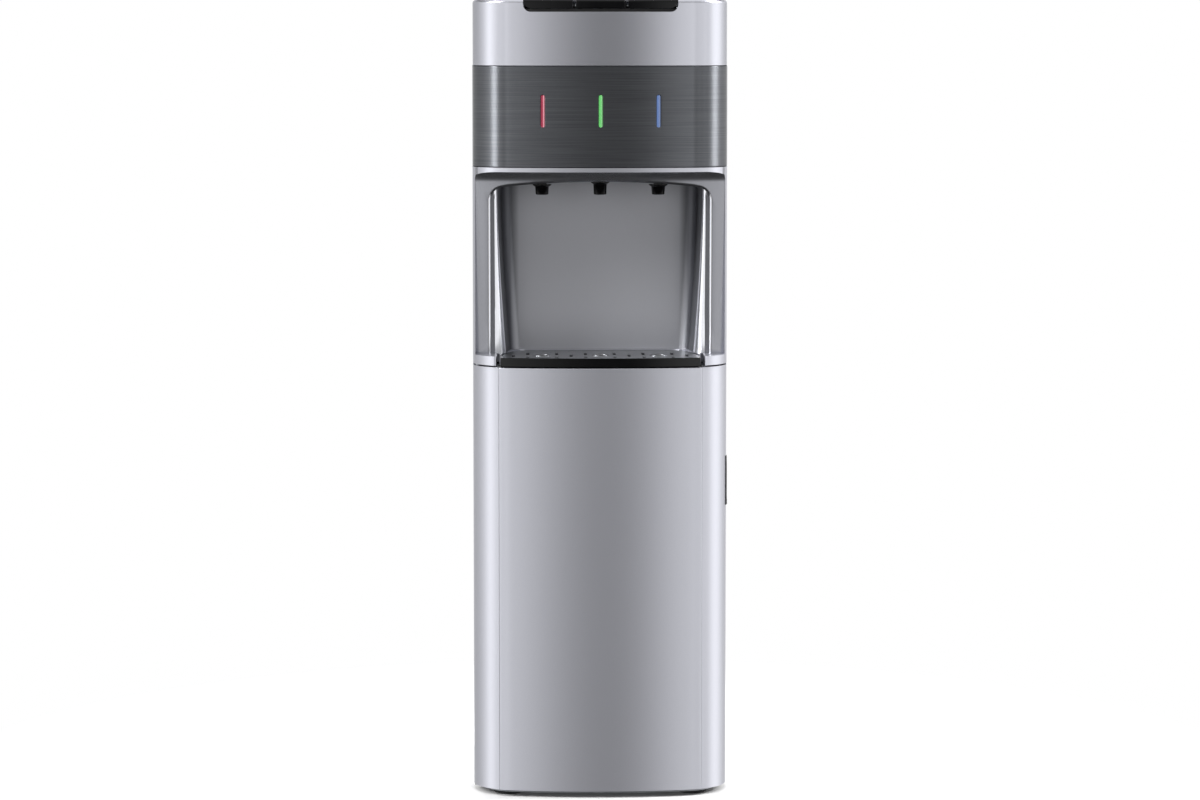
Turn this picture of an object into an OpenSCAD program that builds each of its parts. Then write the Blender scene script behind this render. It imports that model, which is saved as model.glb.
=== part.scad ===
/* [Body] */
// Width across the side panels
body_w = 330; // [316:1:350]
// Depth from the front apex to the rear edge of the side panels
body_d = 365; // [355:1:400]
// Height to the flat top of the cap
body_h = 1032; // [1000:1:1080]
// Radius of the gently bowed front, seen from above
front_r = 640; // [560:10:760]
// Radius of the vertical front corners
corner_r = 58; // [50:1:62]
// How far the front mouldings stand ahead of the side panels
front_depth = 80; // [78:1:84]
// Height of the rubber feet under the base pan
foot_h = 4; // [3:0.5:12]
// Thickness of the steel sheet
sheet = 1; // [0.8:0.1:1.2]
// Wall of the plastic mouldings
skin = 2.5; // [2.2:0.1:2.8]
// Gap left between pieces that seat on each other
seat = 0.3; // [0.2:0.05:0.4]

/* [Door] */
// Width of a side trim, from the side of the body to its seam
seam_side = 34; // [31:1:39]
// How far the side trims sit behind the centre panel
trim_set = 4; // [3:0.5:5]
// Gap behind the door when it is shut
door_gap = 1.5; // [1.2:0.1:2]
// Radius of the two hinge pins
pin_r = 3; // [2.5:0.1:3.5]
// Radial running clearance on pins and shafts
run = 0.05; // [0.02:0.01:0.08]
// Distance of the hinge pins from the side and from the back of the door
pin_side = 8; // [7.5:0.5:9]
// How far the door opens, in degrees
door_swing = 110; // [60:5:110]
// Height of the finger pull
pull_h = 64; // [60:1:90]
// Height of the lower end of the finger pull above the floor
pull_z = 376; // [300:1:440]
// How far the lower end of the finger pull stands proud of the trim
pull_proud = 1.4; // [1:0.1:2.4]

/* [Dispensing bay] */
// Height of the ledges beside the drip tray
ledge_h = 12; // [11:0.5:14]
// Height of the bay, from the ledges to the control panel
bay_h = 243; // [236:1:250]
// Width of the bay frame beside the arched opening
arch_margin = 23.5; // [21:0.5:29]
// Height of the arched opening above the ledges
arch_h = 224; // [220:1:228]
// Radius of the head of the arch
arch_r = 1150; // [900:50:1500]
// Radius of the upper corners of the arch
arch_corner = 17; // [12:1:20]
// Depth of the back wall of the bay behind the front apex
bay_d = 131; // [129:1:136]
// Setback of the bay frame at its head
frame_head = 26; // [24:1:28]
// Setback of the bay frame at its foot
frame_foot = 46; // [42:1:50]
// Height of the bright lip below the control panel
lip_h = 5.5; // [4:0.5:8]
// Spacing of the three nozzles
nozzle_pitch = 75; // [72:1:80]
// Distance of the nozzles behind the front apex
nozzle_d = 50; // [49:1:54]
// Radius of the nozzle body
nozzle_r = 9; // [8:0.5:10]
// How far the nozzles hang below the ceiling of the bay
nozzle_drop = 17; // [14:1:22]

/* [Drip tray] */
// Width of a ledge with its gap to the drip tray
tray_margin = 36.3; // [35.5:0.1:45]
// Depth of the drip tray
tray_d = 125; // [110:1:127]
// Thickness of the floor that the drip tray slides on
shelf_t = 1.4; // [1.2:0.1:1.6]
// Thickness of the grille
grille_t = 1.6; // [1.2:0.2:2]
// Width of the grille slots
slot_w = 4.3; // [3.5:0.1:6]

/* [Head] */
// Height of the silver cap
cap_h = 84.4; // [80:0.2:90]
// Height of the dark control panel
panel_h = 130; // [120:1:140]
// Length of the three light bars
light_h = 41; // [30:1:50]
// Width of the light bars
light_w = 6; // [4:0.5:8]
// Height of the middle of the light bars above the lower edge of the panel
light_z = 72; // [60:1:80]
// Width of the cap beside the key opening
keys_margin = 66; // [60:1:75]
// How far the key opening drops down the front of the cap
keys_drop = 16; // [14:1:20]
// How far the key opening runs back over the top
keys_back = 62; // [56:1:70]
// Gap between neighbouring keys
key_gap = 4.2; // [3.8:0.2:6]
// Radius of the shaft that the keys turn on
shaft_r = 2; // [1.6:0.1:2.5]
// Angle that a key turns when it is pressed
key_angle = 4; // [2:0.5:5]

/* [Filters] */
// Number of filter cartridges
filter_count = 3; // [3:1:3]
// Spacing of the cartridges
filter_pitch = 84; // [76:1:90]
// Radius of a cartridge
filter_r = 29; // [24:1:32]
// Length of a cartridge below the manifold
filter_h = 300; // [240:5:340]
// Radius of a cartridge neck
neck_r = 17; // [14:0.5:20]

/* [Cooling and heating] */
// Radius of the cold tank
cold_r = 58; // [50:1:60]
// Height of the cold tank
cold_h = 200; // [160:5:220]
// Radius of the hot tank
hot_r = 44; // [38:1:48]
// Height of the hot tank
hot_h = 160; // [130:5:190]
// Thickness of the insulation round the tanks
jacket = 13; // [10:1:15]
// Radius of the compressor shell
comp_r = 62; // [54:1:66]
// Height of the compressor shell
comp_h = 138; // [120:1:150]
// Room beside the condenser for its bends
cond_margin = 40; // [36:1:55]
// Number of condenser passes
cond_passes = 11; // [7:2:13]
// Spacing of the condenser passes
cond_pitch = 44; // [36:1:46]
// Radius of the condenser tube
cond_r = 2.4; // [2:0.1:3]

/* [Hidden] */
$fn = 64;
cut = 1; // overshoot of a cutting solid past the face it cuts
corner_steps = 10;
front_steps = 24;

silver = "#b4b7bd";
dark = "#46484c";
black = "#151618";
steel = "#c9ccd0";
copper = "#b87343";

half_w = body_w / 2;
front_y = -body_d / 2;
back_y = body_d / 2;
side_y = front_y + front_depth;
inside_w = half_w - sheet - seat;

pan_t = 1.5;
hinge_t = 1.8;
pan_z = foot_h;
floor_z = pan_z + pan_t;
door_z0 = floor_z + hinge_t + 0.7;
cap_z0 = body_h - cap_h;
panel_z1 = cap_z0 - seat;
panel_z0 = panel_z1 - panel_h;
bay_z1 = panel_z0 - seat;
ledge_z1 = bay_z1 - bay_h;
ledge_z0 = ledge_z1 - ledge_h;
top_plate_z = ledge_z0 - hinge_t - 0.2;
door_z1 = top_plate_z - 0.4;
deck_z = ledge_z0 - 10;
door_seam = half_w - seam_side;
arch_w = half_w - arch_margin;
tray_w = body_w - 2 * tray_margin;
keys_w = half_w - keys_margin;
cond_w = body_w - 2 * cond_margin;
wall_z0 = door_z0;
wall_z1 = panel_z1;

// centre of a front corner, and the angle at which it runs into the bowed front
corner_x = half_w - corner_r;
corner_dep = front_r - sqrt(pow(front_r - corner_r, 2) - pow(corner_x, 2));
blend = asin(corner_x / (front_r - corner_r));

// depth of the bowed front behind its apex at a distance x from the middle
function bow(x) = front_r - sqrt(front_r * front_r - x * x);

function reversed(v) = [for (i = [len(v) - 1 : -1 : 0]) v[i]];

function corner_arc(side, inset) = [for (i = [0 : corner_steps])
    let (a = i * (90 - blend) / corner_steps, r = corner_r - inset)
    [side * (corner_x + r * cos(a)), front_y + corner_dep - r * sin(a)]];

function front_arc(inset) = [for (i = [1 : front_steps - 1])
    let (a = blend * (2 * i / front_steps - 1), r = front_r - inset)
    [r * sin(a), front_y + front_r - r * cos(a)]];

// outline of the body seen from above, from the bowed front back to a straight rear edge
function plan(inset, back) = concat([[-(half_w - inset), back]], corner_arc(-1, inset),
    front_arc(inset), reversed(corner_arc(1, inset)), [[half_w - inset, back]]);

// solid through rings of points that all have the same count
module loft(rings) {
    n = len(rings[0]);
    m = len(rings);
    points = [for (r = rings) each r];
    sides = [for (k = [0 : m - 2], i = [0 : n - 1])
        let (j = (i + 1) % n)
        each [[k * n + i, (k + 1) * n + i, k * n + j], [k * n + j, (k + 1) * n + i, (k + 1) * n + j]]];
    first = [for (i = [0 : n - 1]) i];
    last = [for (i = [n - 1 : -1 : 0]) (m - 1) * n + i];
    polyhedron(points, concat(sides, [first], [last]));
}

function at_z(pts, z, shift = 0) = [for (p = pts) [p[0], p[1] + shift, z]];

module prism(pts, z0, z1) translate([0, 0, z0]) linear_extrude(z1 - z0) polygon(pts);

module slab(x0, x1, y0, y1, z0, z1) translate([x0, y0, z0]) cube([x1 - x0, y1 - y0, z1 - z0]);

module rod_z(x, y, z0, z1, r) translate([x, y, z0]) cylinder(h = z1 - z0, r = r);

module rod_y(x, z, y0, y1, r) translate([x, y0, z]) rotate([-90, 0, 0]) cylinder(h = y1 - y0, r = r);

module rod_x(y, z, x0, x1, r) translate([x0, y, z]) rotate([0, 90, 0]) cylinder(h = x1 - x0, r = r);

// round tube through a list of points, mitred at each point
function unit(v) = v / norm(v);

function tangent(p, i) = i == 0 ? unit(p[1] - p[0])
    : i == len(p) - 1 ? unit(p[i] - p[i - 1])
    : unit(unit(p[i] - p[i - 1]) + unit(p[i + 1] - p[i]));

function ring(c, t, r, sides) =
    let (ref = abs(t[2]) > 0.8 ? [0, 1, 0] : [0, 0, 1], u = unit(cross(ref, t)), v = cross(t, u))
    [for (k = [0 : sides - 1]) c + r * (u * cos(-360 * k / sides) + v * sin(-360 * k / sides))];

module tube(points, r, sides = 8) loft([for (i = [0 : len(points) - 1]) ring(points[i], tangent(points, i),
    r, sides)]);

// points of a route whose corners are rounded with a few steps
function smooth(p, r) = concat([p[0]], [for (i = [1 : len(p) - 2])
    let (a = unit(p[i - 1] - p[i]), b = unit(p[i + 1] - p[i]))
    each [for (s = [0 : 0.25 : 1]) p[i] + a * r * (1 - s) * (1 - s) + b * r * s * s]], [p[len(p) - 1]]);

// base pan, pressed from sheet with an upturned flange on three sides

pan_in = 14;
foot_x = half_w - 45;
foot_front = front_y + 46;
foot_back = back_y - 28;
stud_r = 4;
flange_h = 26;
comp_x = 42;
comp_y = back_y - 94.5;
mount_x = 60;
mount_y = 46;

module base_pan() {
    color("#7d8085")
    difference() {
        union() {
            prism(plan(pan_in, back_y - seat - sheet), pan_z, floor_z);
            for (s = [-1, 1]) slab(s > 0 ? inside_w - sheet : -inside_w,
                s > 0 ? inside_w : sheet - inside_w,
                side_y + 2, back_y - seat - sheet, pan_z, floor_z + flange_h);
            for (s = [-1, 1]) slab(s > 0 ? half_w - pan_in - cut : -inside_w,
                s > 0 ? inside_w : cut + pan_in - half_w,
                side_y + 2, back_y - seat - sheet, pan_z, floor_z);
            slab(-inside_w, inside_w, back_y - seat - 2 * sheet, back_y - seat - sheet, pan_z,
                floor_z + flange_h);
        }
        for (x = [-foot_x, foot_x], y = [foot_front, foot_back])
            rod_z(x, y, pan_z - cut, floor_z + cut, stud_r + seat);
        for (x = [-mount_x, mount_x], y = [-mount_y, mount_y])
            rod_z(comp_x + x, comp_y + y, pan_z - cut, floor_z + cut, 3 + seat);
    }
}

// rubber foot with a neck and a button head, pushed through the pan from below

module feet() {
    color(black)
    for (x = [-foot_x, foot_x], y = [foot_front, foot_back]) translate([x, y, 0]) rotate_extrude()
        polygon([[0, 0],
        [17.5, 0], [19, 1], [19, foot_h - 0.8], [17.5, foot_h], [stud_r, foot_h], [stud_r, floor_z],
            [7, floor_z],
        [6, floor_z + 1.2], [0, floor_z + 1.2]]);
}

// side panels, folded sheet with a return flange at the front and the rear

return_w = 14;

module side_panel(s) {
    color(silver) union() {
        slab(s > 0 ? half_w - sheet : -half_w, s > 0 ? half_w : sheet - half_w, side_y, back_y, wall_z0,
            wall_z1);
        slab(s > 0 ? half_w - return_w : sheet - half_w, s > 0 ? half_w - sheet : return_w - half_w,
            side_y, side_y + sheet, wall_z0, wall_z1);
        slab(s > 0 ? half_w - return_w : sheet - half_w, s > 0 ? half_w - sheet : return_w - half_w,
            back_y - sheet, back_y, wall_z0 + flange_h, wall_z1);
    }
}

module side_panel_left() side_panel(-1);

module side_panel_right() side_panel(1);

// rear panel, set in ahead of the condenser, with pressed louvres above it

rear_y = back_y - 32;
rear_z0 = deck_z - 252;
rear_z1 = wall_z1;
cond_z0 = rear_z0 + 50;
louvre_n = 8;
louvre_w = 84;
louvre_x = [half_w - 175, half_w - 75];
louvre_pitch = 13;
louvre_z = rear_z1 - 24;
fit_x = 47 - half_w;
inlet_z = rear_z0 + 18;
gland_x = half_w - 27;
gland_z = rear_z0 + 18;
rocker_x = half_w - 37;
rocker_gap = 34;
rocker_z = rear_z1 - 81.3;
rocker_w = 14;
rocker_h = 22;
screw_r = 2;
screw_z = [rear_z0 + 14, (rear_z0 + rear_z1) / 2, rear_z1 - 12];
screw_x = inside_w - 6;

module louvre(x, z) translate([x - louvre_w / 2, rear_y, z]) rotate([90, 0, 90])
    linear_extrude(louvre_w) polygon([[sheet / 2, 6], [3.4, 1], [3.4, 0], [2.6, 0], [sheet / 2, 4.8]]);

module rear_panel() {
    color("#8b8e93")
    union() {
        difference() {
            union() {
                slab(-inside_w, inside_w, rear_y, rear_y + sheet, rear_z0, rear_z1);
                for (s = [-1, 1]) slab(s > 0 ? inside_w - sheet : -inside_w,
                    s > 0 ? inside_w : sheet - inside_w,
                    rear_y, rear_y + 14, rear_z0, rear_z1);
            }
            for (x = louvre_x, i = [1 : louvre_n]) slab(x - louvre_w / 2, x + louvre_w / 2, rear_y - cut,
                rear_y + sheet + cut, louvre_z - i * louvre_pitch, louvre_z - i * louvre_pitch + 4.4);
            rod_y(fit_x, inlet_z, rear_y - cut, rear_y + sheet + cut, 8 + seat);
            rod_y(gland_x, gland_z, rear_y - cut, rear_y + sheet + cut, 7 + seat);
            for (i = [0, 1]) slab(-rocker_x + i * rocker_gap - rocker_w / 2 - 2,
                -rocker_x + i * rocker_gap + rocker_w / 2 + 2,
                rear_y - cut, rear_y + sheet + cut, rocker_z - rocker_h / 2 - 2,
                    rocker_z + rocker_h / 2 + 2);
            for (s = [-1, 1], z = screw_z) rod_x(rear_y + 9, z, s * inside_w - 3, s * inside_w + 3,
                screw_r + seat);
        }
        for (x = louvre_x, i = [1 : louvre_n]) louvre(x, louvre_z - i * louvre_pitch);
    }
}

// self-tapping screws that hold the rear panel between the side panels

module rear_screws() {
    color(steel)
    for (s = [-1, 1], z = screw_z) translate([s * (inside_w - sheet), rear_y + 9, z])
        rotate([0, -90 * s, 0]) union() {
        difference() {
            cylinder(h = 2.2, r = 3.6);
            for (a = [0, 90]) rotate([0, 0, a]) translate([-2.2, -0.4, 1.2]) cube([4.4, 0.8, 2]);
        }
        translate([0, 0, -sheet]) cylinder(h = sheet + cut, r = screw_r);
    }
}

// sheet partition between the filter cabinet and the machine compartment

part_y = -6;
hole_r = 12;
pass_x = 41 - half_w;
rise_x = half_w - 15;
rise_y = part_y - 14;
drain_rise_y = back_y - 62.5;

module partition() {
    color("#8b8e93")
    difference() {
        union() {
            slab(-inside_w, inside_w, part_y, part_y + sheet, floor_z, deck_z);
            slab(-inside_w + 3, inside_w - 3, part_y, part_y + 12, floor_z, floor_z + sheet);
        }
        rod_y(pass_x, deck_z - 60, part_y - cut, part_y + sheet + cut, hole_r);
        for (s = [-1, 1]) slab(s > 0 ? inside_w - sheet - seat : -half_w,
            s > 0 ? half_w : sheet + seat - inside_w,
            part_y - cut, part_y + 2 * sheet, pan_z, floor_z + flange_h + seat);
    }
}

// deck that carries the tanks, hung between the side panels

module mid_deck() {
    color("#8b8e93")
    difference() {
        union() {
            slab(-inside_w, inside_w, side_y + 3, rear_y - seat, deck_z, deck_z + 1.5);
            for (s = [-1, 1]) slab(s > 0 ? inside_w - sheet : -inside_w,
                s > 0 ? inside_w : sheet - inside_w,
                side_y + 3, part_y, deck_z - 14, deck_z + 1.5);
        }
        for (s = [-1, 1]) rod_z(s * rise_x, rise_y, deck_z - cut, deck_z + 2 + cut, hole_r - 4);
        rod_z(-rise_x, drain_rise_y, deck_z - cut, deck_z + 2 + cut, hole_r - 4);
        rod_z(pipe_x, rear_y - 20, deck_z - cut, deck_z + 2 + cut, hole_r);
    }
}

// drip tray outline: straight front that follows the bow, and long elliptical rear corners

tray_cx = 32;
tray_cy = 100;

function tray_side(s, grow) = [for (a = [0 : 9 : 90])
    [s * (tray_w / 2 - tray_cx + (tray_cx + grow) * cos(a)),
     front_y + tray_d - tray_cy + (tray_cy + grow) * sin(a)]];

function tray_front(grow) = [for (i = [0 : 12])
    let (x = (tray_w / 2 + grow) * (2 * i / 12 - 1)) [x, front_y + bow(x) - grow]];

function tray_pts(grow, ahead) = concat([for (p = tray_front(grow)) [p[0], p[1] - ahead]],
    tray_side(1, grow), reversed(tray_side(-1, grow)));

tray_z1 = ledge_z1 - 1.3;
tray_z0 = top_plate_z + shelf_t + 0.1;
tray_wall = 3;
tray_floor = 1.8;

module drip_tray() {
    color(black)
    difference() {
        prism(tray_pts(0, 0), tray_z0, tray_z1);
        prism([for (p = tray_pts(-tray_wall, 0)) [p[0], p[1] + 1]], tray_z0 + tray_floor,
            tray_z1 - grille_t);
        prism([for (p = tray_pts(-1.2, 0)) [p[0], p[1] + 1]], tray_z1 - grille_t, tray_z1 + cut);
    }
}

// stainless grille: rows of slots, with a round drain and two small holes below each nozzle

row_mid = front_y + 45;
row_back = front_y + 73;
row_front = front_y + 20;
slot_pitch = (tray_w / 2 - 16.2) / 6;

module slot(x, y, len) union() {
    slab(x - slot_w / 2, x + slot_w / 2, y - len / 2, y + len / 2, tray_z0, tray_z1 + cut);
    for (s = [-1, 1]) rod_z(x, y + s * len / 2, tray_z0, tray_z1 + cut, slot_w / 2);
}

module drain(x) union() {
    difference() {
        rod_z(x, row_mid, tray_z0, tray_z1 + cut, 10);
        slab(x - 10, x - 3, row_mid - 1, row_mid + 1, tray_z0 - cut, tray_z1 + 2);
        slab(x + 3, x + 10, row_mid - 1, row_mid + 1, tray_z0 - cut, tray_z1 + 2);
    }
    rod_z(x, row_mid + 34, tray_z0, tray_z1 + cut, slot_w / 2);
    rod_z(x, row_mid - 33, tray_z0, tray_z1 + cut, slot_w / 2);
}

module drip_grille() {
    color(steel)
    difference() {
        prism([for (p = tray_pts(-1.5, 0)) [p[0], p[1] + 1]], tray_z1 - grille_t, tray_z1 - 0.1);
        for (i = [-6 : 6]) {
            x = i * slot_pitch;
            if (i % 4 == 0) drain(x);
            else if (i % 2 == 0) slot(x, row_mid, 26);
            else {
                slot(x, row_back, 26);
                slot(x, row_front, 16);
            }
        }
    }
}

// shelf moulding: two ledges and the pocket that the drip tray slides in

pocket_gap = 0.6;
ledge_x = tray_w / 2 + 5.3;
shelf_back = front_y + bay_d + skin + 2;
leg_x = inside_w - 20.7;

function ledge_pts(s, inset) = concat([[s * (ledge_x + inset), side_y - seat - inset]],
    [[s * (ledge_x + inset), front_y + bow(ledge_x) + 8], [s * (ledge_x + 1.6 + 0.7 * inset),
        front_y + bow(ledge_x) + 2.6 + inset]],
    [for (p = reversed(corner_arc(s, inset))) if (abs(p[0]) > ledge_x + 4 + inset) p],
    [[s * (half_w - inset), side_y - seat - inset]]);

// closed band round the tray pocket, starting 32 mm behind the front
module pocket(grow, z0, z1) intersection() {
    prism(tray_pts(grow, 0), z0, z1);
    prism([[-half_w, front_y + 32 + bow(tray_w / 2)], [half_w, front_y + 32 + bow(tray_w / 2)],
        [half_w, back_y], [-half_w, back_y]], z0, z1);
}

module shelf_moulding() {
    color(silver)
    difference() {
        union() {
            for (s = [-1, 1]) prism(ledge_pts(s, 0), ledge_z0, ledge_z1);
            pocket(skin, top_plate_z, ledge_z1);
            slab(-inside_w + return_w, inside_w - return_w, side_y - 2, shelf_back, ledge_z0, ledge_z1);
            for (s = [-1, 1]) slab(s * leg_x - 1.5, s * leg_x + 1.5, side_y + 8, shelf_back, deck_z + 1.5,
                ledge_z0 + 1);
        }
        prism(tray_pts(pocket_gap, 30), tray_z0 - 0.1, ledge_z1 + cut);
        for (s = [-1, 1]) prism(ledge_pts(s, skin), ledge_z0 - cut, ledge_z1 - skin);
        difference() {
            slab(3 - leg_x, leg_x - 3, side_y + 1, shelf_back - skin, ledge_z0 - cut, ledge_z1 - skin);
            pocket(skin, top_plate_z, ledge_z1);
        }
    }
}

// bay moulding: a leaning frame that follows the bow, and an arched cavity whose rear corners
// sweep inwards towards the tray

lip_z = bay_z1 - lip_h;
arch_z = ledge_z1 + arch_h;
frame_in = 2.6;
back_wall = front_y + bay_d;
nozzle_y = front_y + nozzle_d;

function frame_shift(z) = frame_head + (frame_foot - frame_head) * (bay_z1 - z) / bay_h - frame_in;

// half of the arch edge from the foot to the crown, as x and z
function arch_side(s, grow) = let (w = arch_w + grow, top = arch_z + grow, r = arch_corner + grow,
    drop = arch_r - sqrt(arch_r * arch_r - w * w), cx = w - r)
    concat([[s * w, ledge_z1 - 20]],
    [for (a = [0 : 10 : 80]) [s * (cx + r * cos(a)), top - drop - r + 1.4 + r * sin(a)]],
    [for (i = [8 : -1 : 1]) let (x = cx * i / 8) [s * x, top - (arch_r - sqrt(arch_r * arch_r - x * x))]]);

function arch_pts(grow) = concat(arch_side(1, grow), [[0, arch_z + grow]], reversed(arch_side(-1, grow)));

// plan of the cavity: straight sides with elliptical rear corners a wide and b deep
function cavity_side(s, a, b, grow) = [for (t = [0 : 9 : 90])
    [s * (arch_w - a + (a + grow) * cos(t)), back_wall - b + (b + grow) * sin(t)]];

function cavity_pts(a, b, grow) = concat([[-(arch_w + grow), front_y], [arch_w + grow, front_y]],
    cavity_side(1, a, b, grow), reversed(cavity_side(-1, a, b, grow)));

module cavity(grow, low) intersection() {
    translate([0, back_y, 0]) rotate([90, 0, 0]) linear_extrude(body_d) polygon(arch_pts(grow));
    loft([at_z(cavity_pts(44, 60, grow), ledge_z1 - low), at_z(cavity_pts(14, 40, grow), arch_z + 6)]);
}

// block behind the leaning frame, grown back by shift and ended at a straight rear edge
module lean(shift, back, more = 0) intersection() {
    loft([for (z = [ledge_z1 - more, bay_z1 + more]) at_z(plan(frame_in, back_y), z,
        frame_shift(z) + shift)]);
    slab(-half_w, half_w, front_y, back, ledge_z1 - 2 * more, bay_z1 + 2 * more);
}

module bay_moulding() {
    color("#9a9da2")
    difference() {
        union() {
            difference() {
                lean(0, side_y - seat);
                lean(skin, side_y + 3, cut);
            }
            intersection() {
                cavity(skin, 0);
                lean(0, back_wall + skin);
            }
            difference() {
                prism(plan(0, side_y - seat), lip_z, bay_z1);
                translate([0, 0, -cut]) prism(plan(skin, side_y + 3), lip_z, bay_z1 - skin + cut);
            }
            slab(-inside_w + return_w, inside_w - return_w, side_y - 2, back_wall + skin, bay_z1 - skin,
                bay_z1);
            for (x = [-1 : 1]) rod_z(x * nozzle_pitch, nozzle_y, arch_z + 1, bay_z1 - 1, 11);
        }
        cavity(0, 3);
        for (x = [-1 : 1]) rod_z(x * nozzle_pitch, nozzle_y, arch_z - 20, bay_z1 + cut, 6 + seat);
    }
}

// nozzles: flange against the ceiling, tapered body, stem up to the valve

// height at which the flange of nozzle i meets the curved ceiling
function nozzle_top(i) = arch_z - pow(abs(i) * nozzle_pitch + nozzle_r + 3.4, 2) / (2 * arch_r) - 0.1;

module nozzles() {
    color(black)
    for (i = [-1 : 1]) translate([i * nozzle_pitch, nozzle_y, 0]) difference() {
        union() {
            rotate_extrude() polygon([[0, arch_z - nozzle_drop], [nozzle_r - 1.6, arch_z - nozzle_drop],
                [nozzle_r - 0.7, arch_z - nozzle_drop + 0.8], [nozzle_r, nozzle_top(i) - 3.4],
                [nozzle_r + 3.2, nozzle_top(i) - 1.2], [nozzle_r + 3.2, nozzle_top(i)],
                    [0, nozzle_top(i)]]);
            rod_z(0, 0, nozzle_top(i) - 1, bay_z1 + 5, 6);
        }
        rod_z(0, 0, arch_z - nozzle_drop - cut, bay_z1 + 5 + cut, 4.2);
    }
}

// control panel: brushed dark shell with three slots for the light bars

module light_slot(x, grow) translate([x, front_y + 20, panel_z0 + light_z]) rotate([90, 0, 0])
    linear_extrude(24)
    union() {
        square([light_w + 2 * grow, light_h - light_w], center = true);
        for (s = [-1, 1]) translate([0, s * (light_h - light_w) / 2]) circle(r = light_w / 2 + grow);
    }

boss_x = nozzle_pitch + 13;
board_y = front_y + 19;

module control_panel() {
    color(dark)
    difference() {
        union() {
            difference() {
                prism(plan(0, side_y - seat), panel_z0, panel_z1);
                prism(plan(skin, side_y + 1), panel_z0 - cut, panel_z1 + cut);
            }
            for (x = [-boss_x, boss_x], z = [-16, 16]) rod_y(x, panel_z0 + light_z + z,
                front_y + bow(boss_x) + 1,
                board_y, 3);
        }
        for (i = [-1 : 1]) light_slot(i * (nozzle_pitch - 1), 0.2);
    }
}

module light_bar(i, tint) {
    x = i * (nozzle_pitch - 1);
    color(tint)
    union() {
        intersection() {
            light_slot(x, 0);
            prism(plan(0, board_y - 2.2), panel_z0, panel_z1);
        }
        intersection() {
            light_slot(x, 2);
            prism(plan(skin + 0.1, board_y - 2.2), panel_z0, panel_z1);
        }
    }
}

module light_bar_hot() light_bar(-1, "#d8394a");

module light_bar_ambient() light_bar(0, "#4ec24a");

module light_bar_cold() light_bar(1, "#4f7fd6");

// indicator board with a lamp block behind each light bar

module indicator_board() {
    color("#2f6b3c")
    union() {
        slab(-boss_x - 8, boss_x + 8, board_y, board_y + 1.6, panel_z0 + light_z - 24,
            panel_z0 + light_z + 24);
        for (i = [-1 : 1], z = [-12, 0, 12]) translate([i * (nozzle_pitch - 1), board_y - 0.8,
            panel_z0 + light_z + z])
            cube([3.5, 1.8, 3.5], center = true);
        slab(-20, 20, board_y + 1.5, board_y + 8, panel_z0 + light_z - 14, panel_z0 + light_z - 6);
    }
}

// top cap: one moulding with a rolled top edge and the opening for the keys

cap_round = 5;
keys_z = body_h - keys_drop;
carrier_z = keys_z - 14;
post_x = keys_w + 14;
window_r = 9.6;
key_side = 0.6;

function cap_ring(z, inset) = [for (p = plan(inset, back_y - inset)) [p[0], p[1], z]];

module cap_form(inset, z0, drop) loft(concat([cap_ring(z0, inset)],
    [for (a = [0 : 22.5 : 90]) cap_ring(body_h - drop - cap_round + cap_round * sin(a),
        inset + cap_round * (1 - cos(a)))]));

module top_cap() {
    color(silver)
    difference() {
        union() {
            difference() {
                cap_form(0.6, cap_z0, 0);
                cap_form(0.6 + skin, cap_z0 - cut, skin);
            }
            for (s = [-1, 1], y = [front_y + 40, front_y + keys_back + 18])
                rod_z(s * post_x, y, carrier_z + 2.5, body_h - skin + 0.5, 4.5);
        }
        key_window(keys_w, keys_z, keys_back);
    }
}

// block with rounded lower corners, from ahead of the front back to a depth d
module key_window(w, z, d) translate([0, front_y + d, z]) rotate([90, 0, 0]) linear_extrude(d + 10)
    union() {
    translate([-w, window_r]) square([2 * w, body_h - z]);
    translate([window_r - w, 0]) square([2 * (w - window_r), window_r + 2]);
    for (s = [-1, 1]) translate([s * (w - window_r), window_r]) circle(r = window_r);
}

// carrier under the keys: bears the shaft and the switches, and closes the opening

shaft_y = front_y + keys_back - 7;
shaft_z = body_h - 9;
key_w = (2 * keys_w - 2 * key_gap - 2 * key_side) / 3;
key_step = key_w + key_gap;
ear_t = 2.4;
shroud_in = 4.4;
button_z = carrier_z + 15.6;
plunger_y = front_y + 32;
ear_x = [-keys_w - 4, -key_step / 2, key_step / 2, keys_w + 4];

module switch_carrier() {
    color(black)
    difference() {
        union() {
            slab(-post_x - 8, post_x + 8, front_y + 26, front_y + keys_back + 26, carrier_z,
                carrier_z + 2.5);
            difference() {
                intersection() {
                    prism(plan(shroud_in, front_y + 34), carrier_z, keys_z + 4);
                    slab(-keys_w - 3, keys_w + 3, front_y, side_y, carrier_z, body_h);
                }
                prism(plan(shroud_in + 2.2, front_y + 60), carrier_z + 2.5, body_h);
            }
            for (x = ear_x) slab(x - ear_t / 2, x + ear_t / 2, shaft_y - 5, shaft_y + 5, carrier_z + 1,
                shaft_z + 4);
            for (i = [-1 : 1]) slab(i * key_step - 12, i * key_step + 12, front_y + 28, front_y + 36,
                carrier_z + 2, carrier_z + 4);
        }
        rod_x(shaft_y, shaft_z, -keys_w - 20, keys_w + 20, shaft_r + run);
    }
}

module key_shaft() {
    color(steel) rod_x(shaft_y, shaft_z, -keys_w - 7, keys_w + 7, shaft_r);
}

// microswitches, one under the front of each key

module key_switches() {
    color("#2a2c30")
    for (i = [-1 : 1]) translate([i * key_step, 0, 0]) union() {
        slab(-10, 10, front_y + 29, front_y + 35, carrier_z + 4, carrier_z + 14);
        rod_z(0, plunger_y, carrier_z + 13, button_z, 1.6);
        for (x = [-7, 7]) slab(x - 0.5, x + 0.5, front_y + 35, front_y + 38, carrier_z + 6, carrier_z + 9);
    }
}

// key: a lever on the shaft with a top skin, a curved front skirt and two hubs

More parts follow.
